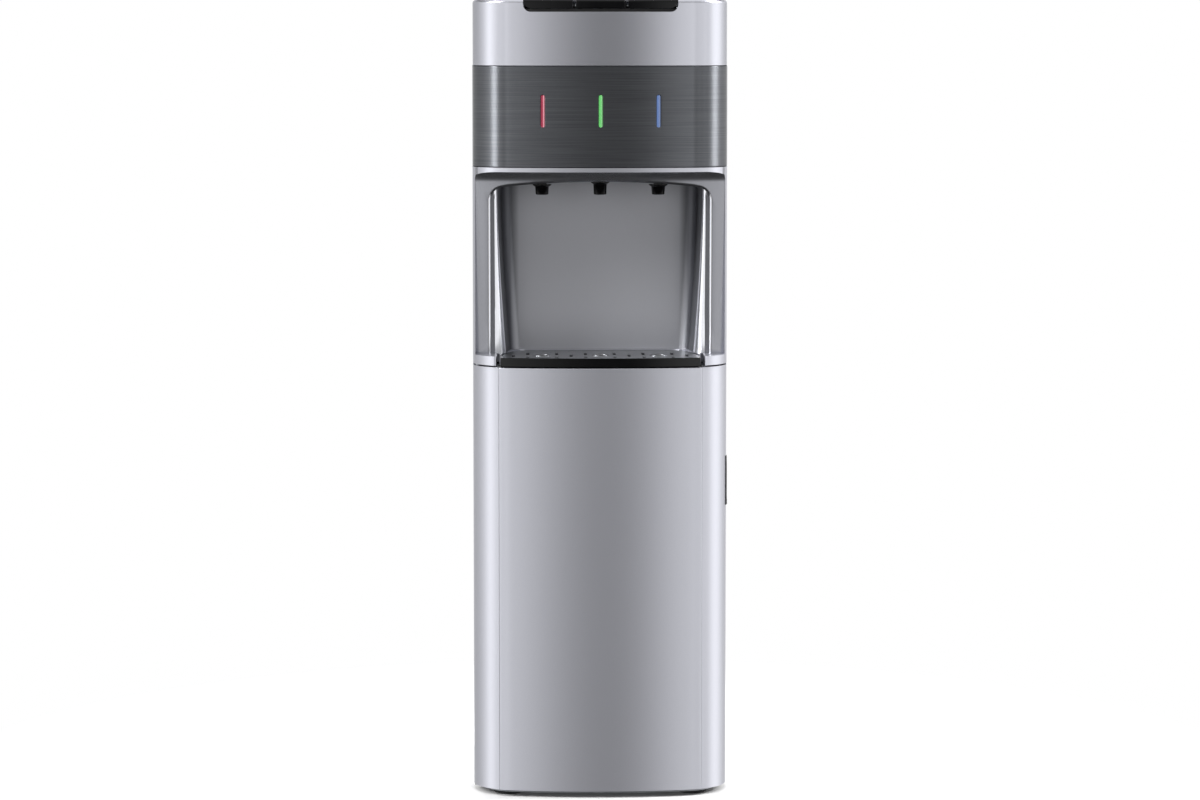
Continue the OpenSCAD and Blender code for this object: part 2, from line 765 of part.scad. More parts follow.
key_t = 2;
skirt_t = 2.2;
skirt_in = 0.6;
skirt_z = keys_z + key_side + (shaft_y - front_y) * sin(key_angle);
plunger_z = button_z + 0.2 + (shaft_y - plunger_y + 3) * sin(key_angle);

module key(i) {
    x0 = i * key_step - key_w / 2;
    x1 = i * key_step + key_w / 2;
    color(black)
    difference() {
        union() {
            intersection() {
                difference() {
                    union() {
                        prism(plan(skirt_in + 2.4, side_y), skirt_z, body_h);
                        prism(plan(skirt_in + 0.8, side_y), skirt_z, body_h - 0.8);
                        prism(plan(skirt_in, side_y), skirt_z, body_h - 2.4);
                    }
                    prism(plan(skirt_in + skirt_t, side_y + 3), skirt_z - cut, body_h - key_t);
                }
                slab(x0, x1, front_y - cut, front_y + keys_back - 0.8, skirt_z - cut, body_h);
                key_window(keys_w - key_side, skirt_z, keys_back);
            }
            for (x = [x0 + 3, x1 - 8]) rod_x(shaft_y, shaft_z, x, x + 5, 5);
            for (x = [x0 + 3, x1 - 8]) slab(x, x + 5, shaft_y - 3, shaft_y + 3, shaft_z + 2, body_h - 1);
            slab(i * key_step - 3, i * key_step + 3, plunger_y - 3, plunger_y + 3, plunger_z, body_h - 1);
        }
        rod_x(shaft_y, shaft_z, x0 - cut, x1 + cut, shaft_r + run);
        if (i < 0) slab(lock_x - 1, lock_x + lock_run + 1, lock_y - 4.3, lock_y + 4.3,
            body_h - key_t - cut, body_h + cut);
    }
}

module key_hot() key(-1);

module key_ambient() key(0);

module key_cold() key(1);

// child lock: a small slide in the hot key

lock_x = 3.4 - key_step;
lock_y = front_y + 22;
lock_run = 6;

module child_lock() {
    color("#b3122a")
    union() {
        slab(lock_x - 0.7, lock_x + 0.7, lock_y - 4, lock_y + 4, body_h - key_t - 0.5, body_h + 1.6);
        slab(lock_x - 4.5, lock_x + 4.5, lock_y - 5.5, lock_y + 5.5, body_h - key_t - 1.7,
            body_h - key_t - 0.1);
    }
}

// tanks on the deck, each in an insulating jacket

coil_r = 3;
coil_path = cold_r + coil_r + 0.9;
hot_x = hot_r + jacket + seat + 8 - inside_w;
cold_x = inside_w - 4 - coil_path - coil_r - jacket - seat;
tank_y = (back_wall + skin + rear_y) / 2;
pipe_x = (hot_x + hot_r + cold_x - coil_path - coil_r) / 2;
tank_z = deck_z + 1.5 + jacket;
tank_t = 1.2;
coil_turns = 7;
coil_pitch = 16;

module vessel(x, r, h, ports) translate([x, tank_y, tank_z]) difference() {
    union() {
        rotate_extrude() polygon([[0, 0], [r - 10, 0], [r - 3, 3], [r, 10], [r, h - 8], [r - 8, h],
            [0, h]]);
        for (p = ports) translate([p, 0, h - 1]) cylinder(h = 15, r = 5);
    }
    translate([0, 0, tank_t]) rotate_extrude() polygon([[0, 0], [r - 10, 0], [r - 3 - tank_t, 3],
        [r - tank_t, 10],
        [r - tank_t, h - 8 - 2 * tank_t], [r - 8, h - 2 * tank_t], [0, h - 2 * tank_t]]);
    for (p = ports) translate([p, 0, h - 4]) cylinder(h = 20, r = 3.3);
}

module hot_tank() {
    color(steel) vessel(hot_x, hot_r, hot_h, [-18, 18]);
}

module cold_tank() {
    color(steel) vessel(cold_x, cold_r, cold_h, [-24, 0, 24]);
}

module jacket_form(x, r, h, wall, slot) translate([x, tank_y, tank_z - jacket]) difference() {
    cylinder(h = h + jacket - 12, r = r + wall);
    translate([0, 0, jacket - seat]) cylinder(h = h, r = r);
    if (slot > 0) translate([-r - wall - cut, -slot / 2, jacket + 10])
        cube([r + wall + cut, slot, coil_pitch * coil_turns + 24]);
}

module hot_jacket() {
    color("#2f3033") jacket_form(hot_x, hot_r + seat, hot_h, jacket, 0);
}

module cold_jacket() {
    color("#e6e6e2") jacket_form(cold_x, coil_path + coil_r + seat, cold_h, jacket, 12);
}

module thermostats() {
    color("#3a3a3c")
    for (s = [-1, 1]) translate([hot_x, tank_y + s * 26, tank_z + hot_h]) union() {
        cylinder(h = 6, r = 8);
        translate([0, 0, 5]) cylinder(h = 5, r = 6);
        for (t = [-3, 3]) translate([t - 0.4, -2, 9]) cube([0.8, 4, 8]);
    }
}

// evaporator: one unbroken coil of tube wound round the cold tank

coil_z0 = tank_z + 24;
coil_z1 = coil_z0 + coil_turns * coil_pitch;

function coil_point(a) = [cold_x - coil_path * cos(a), tank_y - coil_path * sin(a),
    coil_z0 + coil_pitch * a / 360];

coil_gap = coil_pitch - 2 * coil_r;
echo(least_gap_between_evaporator_turns = coil_gap);

module evaporator() {
    color(copper)
    tube([for (i = [0 : coil_turns * 20]) coil_point(i * 18)], coil_r, 6);
}

// compressor: welded shell on a footed base plate, on four rubber grommets

comp_z = floor_z + 16;

module compressor() {
    color("#1d1e20")
    translate([comp_x, comp_y, comp_z]) union() {
        difference() {
            union() {
                rotate_extrude() polygon([[0, 2], [comp_r - 16, 2], [comp_r - 5, 7], [comp_r, 20],
                    [comp_r, comp_h * 0.52],
                    [comp_r + 2.5, comp_h * 0.52], [comp_r + 2.5, comp_h * 0.56], [comp_r, comp_h * 0.56],
                    [comp_r, comp_h - 30], [comp_r - 7, comp_h - 12], [comp_r - 24, comp_h - 2],
                        [0, comp_h]]);
                translate([0, 0, 1.5]) difference() {
                    cube([2 * mount_x + 24, 2 * mount_y + 20, 3], center = true);
                    for (x = [-mount_x, mount_x], y = [-mount_y, mount_y]) translate([x, y, -3])
                        cylinder(h = 6, r = 7 + seat);
                }
                rod_y(-20, 40, 50, 78, 4);
                rod_y(22, 60, 50, 78, 3);
                slab(-comp_r - 16, -comp_r + 8, -22, 22, 30, 82);
            }
            translate([0, 0, 3]) rotate_extrude() polygon([[39, 2], [comp_r - 8, 6], [comp_r - 3, 20],
                [comp_r - 3, comp_h - 33],
                [comp_r - 24, comp_h - 8], [0, comp_h - 6], [0, 86], [39, 86]]);
            rod_y(-20, 40, 46, 79, 2.4);
        }
    }
}

module grommets() {
    color(black)
    for (x = [-mount_x, mount_x], y = [-mount_y, mount_y]) translate([comp_x + x, comp_y + y, floor_z])
        rotate_extrude() polygon([[0, 0], [10, 0], [11, 2], [11, comp_z - floor_z - 0.1],
            [7, comp_z - floor_z - 0.1],
            [7, comp_z - floor_z + 3.1], [9, comp_z - floor_z + 3.6], [8, comp_z - floor_z + 8],
                [0, comp_z - floor_z + 8]]);
}

// condenser: one serpentine tube with vertical wires welded across both faces

cond_y = back_y - 15;
wire_r = 0.8;
wire_step = 12.5;
cond_z1 = cond_z0 + (cond_passes - 1) * cond_pitch;

module bend(s, z) translate([s * cond_w / 2, cond_y, z]) rotate([90, 0, 0]) rotate([0, 0, s > 0 ? -90 : 90])
    rotate_extrude(angle = 180) translate([cond_pitch / 2, 0]) circle(r = cond_r, $fn = 24);

module condenser() {
    color("#17181a") union() {
        union() {
            for (k = [0 : cond_passes - 1]) rod_x(cond_y, cond_z0 + k * cond_pitch, -cond_w / 2,
                cond_w / 2, cond_r, $fn = 24);
            for (k = [0 : cond_passes - 2]) bend(k % 2 == 0 ? 1 : -1, cond_z0 + (k + 0.5) * cond_pitch);
        }
        for (i = [-9 : 9])
            translate([i * wire_step, cond_y + (i % 2 == 0 ? 1 : -1) * (cond_r + wire_r + 0.02), cond_z0 - 8])
            cylinder(h = cond_z1 - cond_z0 + 16, r = wire_r, $fn = 8);
    }
}

clip_z = [cond_z0 + cond_pitch * 1.5, cond_z1 - cond_pitch * 1.5];

module condenser_clips() {
    color("#8b8e93")
    for (s = [-1, 1], z = clip_z) difference() {
        union() {
            slab(s > 0 ? cond_w / 2 + cond_pitch / 2 - 10 : -inside_w + sheet + 0.1,
                s > 0 ? inside_w - sheet - 0.1 : 10 - cond_w / 2 - cond_pitch / 2,
                rear_y + sheet + 0.1, rear_y + sheet + 2.1, z - 8, z + 8);
            slab(s > 0 ? cond_w / 2 + cond_pitch / 2 - 9 : 1 - cond_w / 2 - cond_pitch / 2,
                s > 0 ? cond_w / 2 + cond_pitch / 2 - 1 : 9 - cond_w / 2 - cond_pitch / 2,
                rear_y + sheet + 1, cond_y - cond_r - seat, z - 8, z + 8);
        }
    }
}

// filter drier and the bare copper pipes between the parts of the cooling circuit

drier_x = -60;
drier_y = back_y - 50;
drier_z = rear_z0 - 150;

module filter_drier() {
    color(copper) translate([drier_x, drier_y, drier_z]) rotate_extrude()
        polygon([[0, -14], [3, -14], [3, 0], [9, 10],
        [9, 90], [3, 100], [3, 112], [0, 112]]);
}

coil_end = cold_x - coil_path - coil_r - 0.2;
pass_y = rear_y - 20;
comp_rear = comp_y + 78.2;
line_x = cond_w / 2 + cond_pitch / 2 + cond_r + 6;
bend_x = cond_w / 2 + 15;

// hot gas from the compressor to the top of the condenser
gas_route = [[comp_x + 22, comp_rear, comp_z + 60], [comp_x + 22, comp_rear + 6, comp_z + 60],
    [comp_x + 22, comp_rear + 6, rear_z0 - 70], [line_x, cond_y, rear_z0 - 38], [line_x, cond_y, cond_z1],
    [cond_w / 2 + 0.2, cond_y, cond_z1]];

// liquid from the foot of the condenser to the drier
liquid_route = [[-cond_w / 2 - 0.2, cond_y, cond_z0], [-bend_x, cond_y, cond_z0],
    [-bend_x, cond_y, rear_z0 - 16],
    [drier_x, drier_y, rear_z0 - 16], [drier_x, drier_y, drier_z + 112.2]];

// suction line from the compressor up to the top of the evaporator
suction_route = [[comp_x - 20, comp_rear, comp_z + 40], [comp_x - 20, comp_rear + 6, comp_z + 40],
    [comp_x - 20, comp_rear + 6, rear_z0 - 80], [pipe_x + 5, pass_y, rear_z0 - 10],
        [pipe_x + 5, pass_y, coil_z1],
    [pipe_x + 5, tank_y, coil_z1], [coil_end, tank_y, coil_z1]];

// capillary from the drier to the foot of the evaporator
capillary_route = [[drier_x, drier_y, drier_z - 14.2], [drier_x, drier_y, drier_z - 34],
    [drier_x + 26, drier_y - 8, drier_z - 34], [drier_x + 26, drier_y - 8, rear_z0],
    [pipe_x - 7, pass_y, rear_z0 + 40], [pipe_x - 7, pass_y, coil_z0], [pipe_x - 7, tank_y, coil_z0],
    [coil_end, tank_y, coil_z0]];

module refrigerant_pipes() {
    color(copper) {
        tube(smooth(gas_route, 5), 2.2);
        tube(smooth(liquid_route, 6), 2.2);
        tube(smooth(suction_route, 5), 3);
        tube(smooth(capillary_route, 5), 1.4);
    }
}

// solenoid valves on top of the bay moulding, one over each nozzle

module solenoid_valves() {
    color("#e9e9e4")
    for (i = [-1 : 1]) translate([i * nozzle_pitch, nozzle_y, bay_z1]) difference() {
        union() {
            slab(-13, 13, -13, 16, 0, 16);
            translate([0, 0, 15]) cylinder(h = 26, r = 11);
            slab(-12, 12, -9, 14, 20, 36);
            rod_y(0, 8, 15, 30, 3.6);
        }
        translate([0, 0, -cut]) cylinder(h = 6.2 + cut, r = 6 + seat);
        rod_y(0, 8, 6, 31, 2);
    }
}

box_z1 = louvre_z - louvre_n * louvre_pitch - 8;
box_z0 = box_z1 - 54;

module control_box() {
    color("#d9d9d4")
    difference() {
        union() {
            slab(-70, 50, rear_y - 46, rear_y - seat, box_z0, box_z1);
            slab(-78, 58, rear_y - 3, rear_y - seat, box_z0 + 12, box_z0 + 24);
        }
        slab(-68, 48, rear_y - 44, rear_y - 2, box_z0 + 2, box_z1 + cut);
        for (i = [-3 : 3]) slab(-12 + i * 12, -6 + i * 12, rear_y - 47, rear_y - 42, box_z0 + 30,
            box_z0 + 44);
    }
}

// filters: a manifold under the deck with a socket for each cartridge

filter_y = front_y + 128;
manifold_z = deck_z - 22;
neck_h = 20;

module filter_manifold() {
    color("#e9e9e4")
    difference() {
        union() {
            slab(-filter_pitch - 34, filter_pitch + 34, filter_y - 26, filter_y + 26, manifold_z + 8,
                manifold_z + 14);
            slab(-filter_pitch - 20, filter_pitch + 20, filter_y - 8, filter_y + 8, manifold_z + 13,
                deck_z);
            for (i = [-1 : 1]) rod_z(i * filter_pitch, filter_y, manifold_z - 12, manifold_z + 14,
                neck_r + 6);
            for (i = [-1 : 1]) for (s = [-1, 1]) rod_x(filter_y, manifold_z + 4,
                i * filter_pitch + s * (neck_r + 13) - 8,
                i * filter_pitch + s * (neck_r + 13) + 8, 5.5);
            rod_x(filter_y + 16, manifold_z + 4, filter_pitch + 10, port_x - 0.2, 5.5);
        }
        for (i = [-1 : 1]) rod_z(i * filter_pitch, filter_y, manifold_z - 12 - cut, manifold_z + 8.3,
            neck_r + run);
    }
}

module cartridge(i) {
    top = manifold_z - 12 - 0.5;
    color("#f2f2ee") translate([i * filter_pitch, filter_y, 0]) union() {
        translate([0, 0, top - filter_h]) rotate_extrude() polygon([[0, 0], [filter_r - 14, 0],
            [filter_r - 6, 3],
            [filter_r - 1.5, 9], [filter_r, 16], [filter_r, filter_h - 24], [filter_r - 2, filter_h - 14],
            [neck_r + 4, filter_h], [0, filter_h]]);
        translate([0, 0, top - 1]) cylinder(h = neck_h + 1, r = neck_r);
        translate([0, 0, top - filter_h - 6]) for (a = [0, 90]) rotate([0, 0, a])
            translate([-12, -2, 0]) cube([24, 4, 8]);
    }
}

module cartridge_left() cartridge(-1);

module cartridge_middle() cartridge(0);

module cartridge_right() cartridge(1);

// water tubes between the inlet, the filters, the tanks and the valves

tube_r = 3.2;
port_x = filter_pitch + neck_r + 21.2;
hot_top = tank_z + hot_h + 14.2;
cold_top = tank_z + cold_h + 14.2;
valve_y = nozzle_y + 30.2;
valve_z = bay_z1 + 8;

module water_tubes() {
    color("#e4e8ec") {
        tube(smooth([[-port_x, filter_y, manifold_z + 4], [-port_x - 14, filter_y, manifold_z + 4],
            [-port_x - 14, filter_y + 22, deck_z - 60], [pass_x, part_y, deck_z - 60],
                [fit_x, part_y + 40, deck_z - 80],
            [fit_x, rear_y - 44, inlet_z], [fit_x, rear_y - 16.2, inlet_z]], 9), tube_r);
        tube(smooth([[port_x, filter_y, manifold_z + 4], [port_x + 16, filter_y, manifold_z + 4],
            [port_x + 16, filter_y, manifold_z - 14], [port_x + 4, rise_y, manifold_z - 14],
            [-rise_x, rise_y, manifold_z - 14], [-rise_x, rise_y, hot_top + 22],
                [hot_x - 18, tank_y, hot_top + 22],
            [hot_x - 18, tank_y, hot_top]], 8), tube_r);
        tube(smooth([[port_x, filter_y + 16, manifold_z + 4], [rise_x, filter_y + 16, manifold_z + 4],
            [rise_x, rise_y, manifold_z + 8],
            [rise_x, rise_y, cold_top + 16], [cold_x + 24, tank_y, cold_top + 16],
                [cold_x + 24, tank_y, cold_top]], 7), tube_r);
        tube(smooth([[hot_x + 18, tank_y, hot_top], [hot_x + 18, tank_y, bay_z1 - 20],
            [-nozzle_pitch, back_wall, valve_z + 8],
            [-nozzle_pitch, valve_y + 20, valve_z], [-nozzle_pitch, valve_y, valve_z]], 9), tube_r);
        tube(smooth([[cold_x - 24, tank_y, cold_top], [cold_x - 24, tank_y, cold_top + 16],
            [0, back_wall, valve_z + 8],
            [0, valve_y + 20, valve_z], [0, valve_y, valve_z]], 9), tube_r);
        tube(smooth([[cold_x, tank_y, cold_top], [cold_x, tank_y, cold_top + 34],
            [nozzle_pitch, back_wall, valve_z + 8],
            [nozzle_pitch, valve_y + 20, valve_z], [nozzle_pitch, valve_y, valve_z]], 9), tube_r);
        tube(smooth([[drain_x, back_y - 30.2, drain_z], [drain_x, back_y - 46, drain_z],
            [-rise_x, drain_rise_y, drain_z + 40],
            [-rise_x, drain_rise_y, tank_z + 16], [hot_x - 36.3, tank_y + 45.1, tank_z + 16]], 9), tube_r);
    }
}

// rear fittings

module inlet_fitting() {
    color("#e9e9e4") translate([fit_x, rear_y, inlet_z]) difference() {
        union() {
            translate([0, sheet, 0]) rotate([-90, 0, 0]) cylinder(h = 5, r = 12, $fn = 6);
            rod_y(0, 0, sheet + 4, sheet + 15, 7);
            rod_y(0, 0, -16, sheet + 4, 8);
            rotate([90, 0, 0]) cylinder(h = 5, r = 12, $fn = 6);
        }
        rod_y(0, 0, 4, sheet + 16, 3.2);
        rod_y(0, 0, -17, 5, 2.4);
    }
}

drain_x = 71 - half_w;
drain_z = floor_z + flange_h + 14;

module drain_fitting() {
    color("#e9e9e4") difference() {
        union() {
            rod_y(drain_x, drain_z, back_y - 30, back_y - 4, 7);
            slab(drain_x - 9, drain_x + 9, back_y - 28, back_y - 24, floor_z, drain_z + 4);
        }
        rod_y(drain_x, drain_z, back_y - 31, back_y - 3, 4);
    }
}

module drain_cap() {
    color("#2b4f8f") difference() {
        rod_y(drain_x, drain_z, back_y - 16, back_y - 0.5, 9.5);
        rod_y(drain_x, drain_z, back_y - 17, back_y - 3.5, 7 + run);
    }
}

module cord_gland() {
    color(black) translate([gland_x, rear_y, gland_z]) difference() {
        union() {
            rod_y(0, 0, sheet, sheet + 4, 9.5);
            rod_y(0, 0, sheet + 3, sheet + 14, 6);
            rod_y(0, 0, -6, sheet + 1, 7);
            rod_y(0, 0, -4, -0.1, 9);
        }
        rod_y(0, 0, -7, sheet + 15, 3.6);
    }
}

// rocker switches for the heater and the cooler

rocker_tilt = 9;

module rocker_housings() {
    color(black)
    for (i = [0, 1]) translate([-rocker_x + i * rocker_gap, rear_y, rocker_z]) difference() {
        union() {
            slab(-rocker_w / 2 - 3.5, rocker_w / 2 + 3.5, sheet, sheet + 2, -rocker_h / 2 - 4,
                rocker_h / 2 + 4);
            slab(-rocker_w / 2 - 1.8, rocker_w / 2 + 1.8, -16, sheet + 1, -rocker_h / 2 - 1.8,
                rocker_h / 2 + 1.8);
        }
        slab(-rocker_w / 2, rocker_w / 2, -11, sheet + 3, -rocker_h / 2, rocker_h / 2);
        rod_x(0, 0, -rocker_w / 2 - 1.2, rocker_w / 2 + 1.2, 1.5 + run);
    }
}

module rocker(i, tint) {
    color(tint) translate([-rocker_x + i * rocker_gap, rear_y, rocker_z]) rotate([rocker_tilt, 0, 0])
        union() {
        rotate([90, 0, 90]) translate([0, 0, -rocker_w / 2 + 0.4]) linear_extrude(rocker_w - 0.8)
            polygon([[-4, -6],
            [3.4, -rocker_h / 2 + 1.6], [4.2, -rocker_h / 2 + 1.6], [3, 0], [4.2, rocker_h / 2 - 1.6],
                [3.4, rocker_h / 2 - 1.6], [-4, 6]]);
        rod_x(0, 0, -rocker_w / 2 - 0.8, rocker_w / 2 + 0.8, 1.5);
    }
}

module rocker_hot() rocker(0, "#a01c28");

module rocker_cold() rocker(1, "#2f6b3c");

// hinges: a plate under and over the door, each with a riveted pin

door_back = side_y - door_gap;
pin_x = -(half_w - pin_side);
pin_y = door_back - 12;
pin_len = 11;
swing_r = 12.8;

module hinge_plate(z) hull() {
    rod_z(pin_x, pin_y, z, z + hinge_t, 6.5, $fn = 32);
    slab(-half_w + 2.5, -half_w + 20, side_y + 3, side_y + 9, z, z + hinge_t);
}

module hinge_brackets() {
    color(steel) {
        union() {
            slab(-half_w + 3, -half_w + 19, side_y - 12, side_y + 12, floor_z, floor_z + hinge_t);
            rod_z(pin_x, pin_y, floor_z, floor_z + hinge_t, 7);
            rod_z(pin_x, pin_y, floor_z + 0.5, door_z0 + pin_len, pin_r);
        }
        union() {
            slab(-half_w + 3, -half_w + 13, side_y - 12, side_y - 1, top_plate_z, top_plate_z + hinge_t);
            rod_z(pin_x, pin_y, top_plate_z, top_plate_z + hinge_t, 4.9);
            rod_z(pin_x, pin_y, door_z1 - pin_len, top_plate_z + 0.5, pin_r);
        }
    }
}

module strike_plate() {
    color(steel) slab(half_w - return_w, half_w - 3, side_y - sheet, side_y, door_z1 - 90, door_z1 - 40);
}

// door: a bowed centre panel, two side trims, and a moulded liner that joins them

// what the hinge edge leaves free, so that it clears the side panel as it swings
module swing_cut() difference() {
    slab(-half_w - cut, pin_x, pin_y, side_y, door_z0 - cut, door_z1 + cut);
    rod_z(pin_x, pin_y, door_z0 - 2, door_z1 + 2, swing_r);
}

fold = 7;

module door_panel() {
    color(silver)
    intersection() {
        difference() {
            prism(plan(0, side_y), door_z0, door_z1);
            difference() {
                prism(plan(skin, side_y), door_z0 + skin, door_z1 - skin);
                for (s = [-1, 1]) slab(s > 0 ? door_seam - 2 : -door_seam,
                    s > 0 ? door_seam : 2 - door_seam,
                    front_y, front_y + bow(door_seam) + fold, door_z0, door_z1);
            }
            slab(-half_w - cut, half_w + cut, front_y + bow(door_seam) + fold, side_y + cut, door_z0 - 2,
                door_z1 + 2);
        }
        slab(-door_seam, door_seam, front_y - cut, side_y, door_z0, door_z1);
    }
}

// block of the trim outline on one side of a seam
module trim_block(s, inset, z0, z1) intersection() {
    translate([0, trim_set, 0]) prism(plan(inset, door_back - trim_set), z0, z1);
    slab(s > 0 ? door_seam + 0.4 : -half_w, s > 0 ? half_w : -door_seam - 0.4, front_y, door_back, z0, z1);
}

module trim(s) difference() {
    trim_block(s, 0, door_z0, door_z1);
    translate([0, trim_set, 0]) prism(plan(skin, side_y + 2), door_z0 + skin, door_z1 - skin);
}

module door_trim_left() {
    color(silver)
    difference() {
        union() {
            trim(-1);
            rod_z(pin_x, pin_y, door_z0 + 1, door_z0 + 13, 6.5);
            rod_z(pin_x, pin_y, door_z1 - 13, door_z1 - 1, 6.5);
        }
        swing_cut();
        rod_z(pin_x, pin_y, door_z0 - cut, door_z0 + 12, pin_r + run);
        rod_z(pin_x, pin_y, door_z1 - 12, door_z1 + cut, pin_r + run);
    }
}

pull_y0 = side_y - 21;
pull_y1 = door_back - 0.5;
cup_d = 12;

module door_trim_right() {
    color(silver)
    difference() {
        trim(1);
        slab(half_w - 8, half_w + cut, pull_y0 + 2, pull_y1 - 2, pull_z + 4, pull_z + pull_h - 8);
    }
}

// finger pull: a cup let into the right trim, with a rim that stands proud

module door_pull() {
    color(black)
    difference() {
        union() {
            intersection() {
                translate([0, trim_set, 0]) difference() {
                    prism(plan(-pull_proud, side_y), pull_z, pull_z + pull_h);
                    prism(plan(-0.1, side_y + 2), pull_z - cut, pull_z + pull_h + cut);
                }
                translate([0, pull_y1, 0]) rotate([90, 0, 0]) linear_extrude(pull_y1 - pull_y0)
                    polygon([[half_w - 6, pull_z],
                    [half_w + pull_proud, pull_z], [half_w + 0.3, pull_z + pull_h],
                        [half_w - 6, pull_z + pull_h]]);
            }
            slab(half_w - cup_d - 1.5, half_w + 0.4, pull_y0 + 2.2, pull_y1 - 2.2, pull_z + 4.2,
                pull_z + pull_h - 8.2);
        }
        slab(half_w - cup_d, half_w + 4, pull_y0 + 3.7, pull_y1 - 3.7, pull_z + 5.7, pull_z + pull_h - 9.7);
    }
}

lin_in = skin + seat;
lin_z0 = door_z0 + skin + seat;
lin_z1 = door_z1 - skin - seat;
mag_z0 = door_z1 - 88;
mag_z1 = door_z1 - 42;
mag_x0 = half_w - 13.5;
mag_x1 = half_w - 4;

module door_liner() {
    color("#dcdcd8")
    difference() {
        translate([0, trim_set, 0]) prism(plan(lin_in, door_back - trim_set), lin_z0, lin_z1);
        translate([0, trim_set, 0]) prism(plan(lin_in + skin, door_back - trim_set - skin), lin_z0 + skin,
            lin_z1 - skin);
        slab(-door_seam + 12, door_seam - 12, front_y - cut, front_y + 40, lin_z0 + skin, lin_z1 - skin);
        slab(-door_seam - 0.5, door_seam + 0.5, front_y - cut, front_y + bow(door_seam) + fold + 0.3,
            lin_z0 - cut, lin_z1 + cut);
        swing_cut();
        rod_z(pin_x, pin_y, lin_z0 - cut, door_z0 + 13 + seat, 7);
        rod_z(pin_x, pin_y, door_z1 - 13 - seat, lin_z1 + cut, 7);
        slab(half_w - cup_d - 1.8, half_w, pull_y0 + 1.9, pull_y1 - 1.9, pull_z + 3.9,
            pull_z + pull_h - 7.9);
        slab(mag_x0 - 0.2, mag_x1 + 0.2, door_back - 2, door_back + cut, mag_z0 - 0.2, mag_z1 + 0.2);
    }
}

module door_magnet() {
    color("#3b3b3d") slab(mag_x0, mag_x1, door_back - 1.9, door_back + 0.2, mag_z0, mag_z1);
}

base_pan();
feet();
side_panel_left();
side_panel_right();
rear_panel();
partition();
mid_deck();
shelf_moulding();
bay_moulding();
control_panel();
light_bar_hot();
light_bar_ambient();
light_bar_cold();
indicator_board();
top_cap();
key_shaft();
switch_carrier();
key_switches();
nozzles();
hot_tank();
hot_jacket();
thermostats();
cold_tank();
cold_jacket();
evaporator();
compressor();
grommets();
condenser();
condenser_clips();
filter_drier();
refrigerant_pipes();
solenoid_valves();
control_box();
filter_manifold();
cartridge_left();
cartridge_middle();
cartridge_right();
water_tubes();
inlet_fitting();
drain_fitting();
drain_cap();
cord_gland();
rocker_housings();
rocker_hot();
rocker_cold();
rear_screws();
hinge_brackets();
strike_plate();
door_panel();
door_trim_left();
door_trim_right();
door_liner();
door_pull();
door_magnet();
drip_tray();
drip_grille();
key_hot();
key_ambient();
key_cold();
child_lock();
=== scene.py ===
import math

import bmesh
import bpy
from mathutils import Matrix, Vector


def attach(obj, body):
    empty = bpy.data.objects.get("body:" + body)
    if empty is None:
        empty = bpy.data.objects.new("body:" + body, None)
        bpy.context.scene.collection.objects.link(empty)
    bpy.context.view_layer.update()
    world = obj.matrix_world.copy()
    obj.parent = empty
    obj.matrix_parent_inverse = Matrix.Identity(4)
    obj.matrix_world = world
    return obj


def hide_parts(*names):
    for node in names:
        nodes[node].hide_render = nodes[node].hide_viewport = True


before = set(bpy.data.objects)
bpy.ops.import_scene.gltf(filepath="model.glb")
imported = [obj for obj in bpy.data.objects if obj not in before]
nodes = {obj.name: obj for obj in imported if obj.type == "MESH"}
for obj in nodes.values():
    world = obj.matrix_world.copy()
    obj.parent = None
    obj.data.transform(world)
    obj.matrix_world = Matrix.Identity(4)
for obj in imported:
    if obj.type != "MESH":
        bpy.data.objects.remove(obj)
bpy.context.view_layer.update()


# Base pan, partition, deck and rear panel: galvanised sheet, pressed and folded. The pan carries
# the compressor and stands on four rubber feet that are pushed through it from below.


def linear(code):
    """An sRGB hex colour as the linear colour that the shaders take."""
    parts = [int(code[i : i + 2], 16) / 255 for i in (1, 3, 5)]
    return [c / 12.92 if c <= 0.04045 else ((c + 0.055) / 1.055) ** 2.4 for c in parts] + [1.0]


def add(tree, kind, inputs=None, **settings):
    """Adds one node to a tree, with its settings, its input values and its incoming links."""
    node = tree.nodes.new(kind)
    for name, value in settings.items():
        setattr(node, name, value)
    for name, value in (inputs or {}).items():
        if isinstance(value, bpy.types.NodeSocket):
            tree.links.new(value, node.inputs[name])
        else:
            node.inputs[name].default_value = value
    return node


def surface(name, dark, light, size_mm, stretch=(1, 1, 1), bump=0.0, **shader):
    """A finish whose colour runs between two tones in a pattern of a real size, with a relief
    of up to 0.2 mm."""
    made = bpy.data.materials.new(name)
    made.use_nodes = True
    tree = made.node_tree
    tree.nodes.clear()
    place = add(tree, "ShaderNodeTexCoord").outputs["Object"]
    turned = add(tree, "ShaderNodeMapping", {"Vector": place, "Scale": stretch}).outputs["Vector"]
    pattern = {"Vector": turned, "Scale": 1000 / size_mm, "Detail": 3.0}
    grain = add(tree, "ShaderNodeTexNoise", pattern).outputs["Fac"]
    tone = add(tree, "ShaderNodeValToRGB", {"Fac": grain})
    low, high = tone.color_ramp.elements
    low.position, high.position = 0.3, 0.7
    low.color, high.color = linear(dark), linear(light)
    values = {"Base Color": tone.outputs["Color"]}
    values.update(shader)
    if bump:
        relief = {"Height": grain, "Strength": bump, "Distance": 0.0002}
        values["Normal"] = add(tree, "ShaderNodeBump", relief).outputs["Normal"]
    body = add(tree, "ShaderNodeBsdfPrincipled", values)
    add(tree, "ShaderNodeOutputMaterial", {"Surface": body.outputs["BSDF"]})
    return made


def dress(made, *names):
    """Puts a finish in the slots of CAD pieces."""
    for name in names:
        if not nodes[name].material_slots:
            nodes[name].data.materials.append(None)
        for held in nodes[name].material_slots:
            held.material = made


# Hot-dip galvanised sheet: zinc crystals a few millimetres across give a faint mottle.
galvanised_sheet = surface(
    "galvanised_sheet", "#84888c", "#9a9ea2", 14, bump=0.1, Metallic=0.8, Roughness=0.42
)
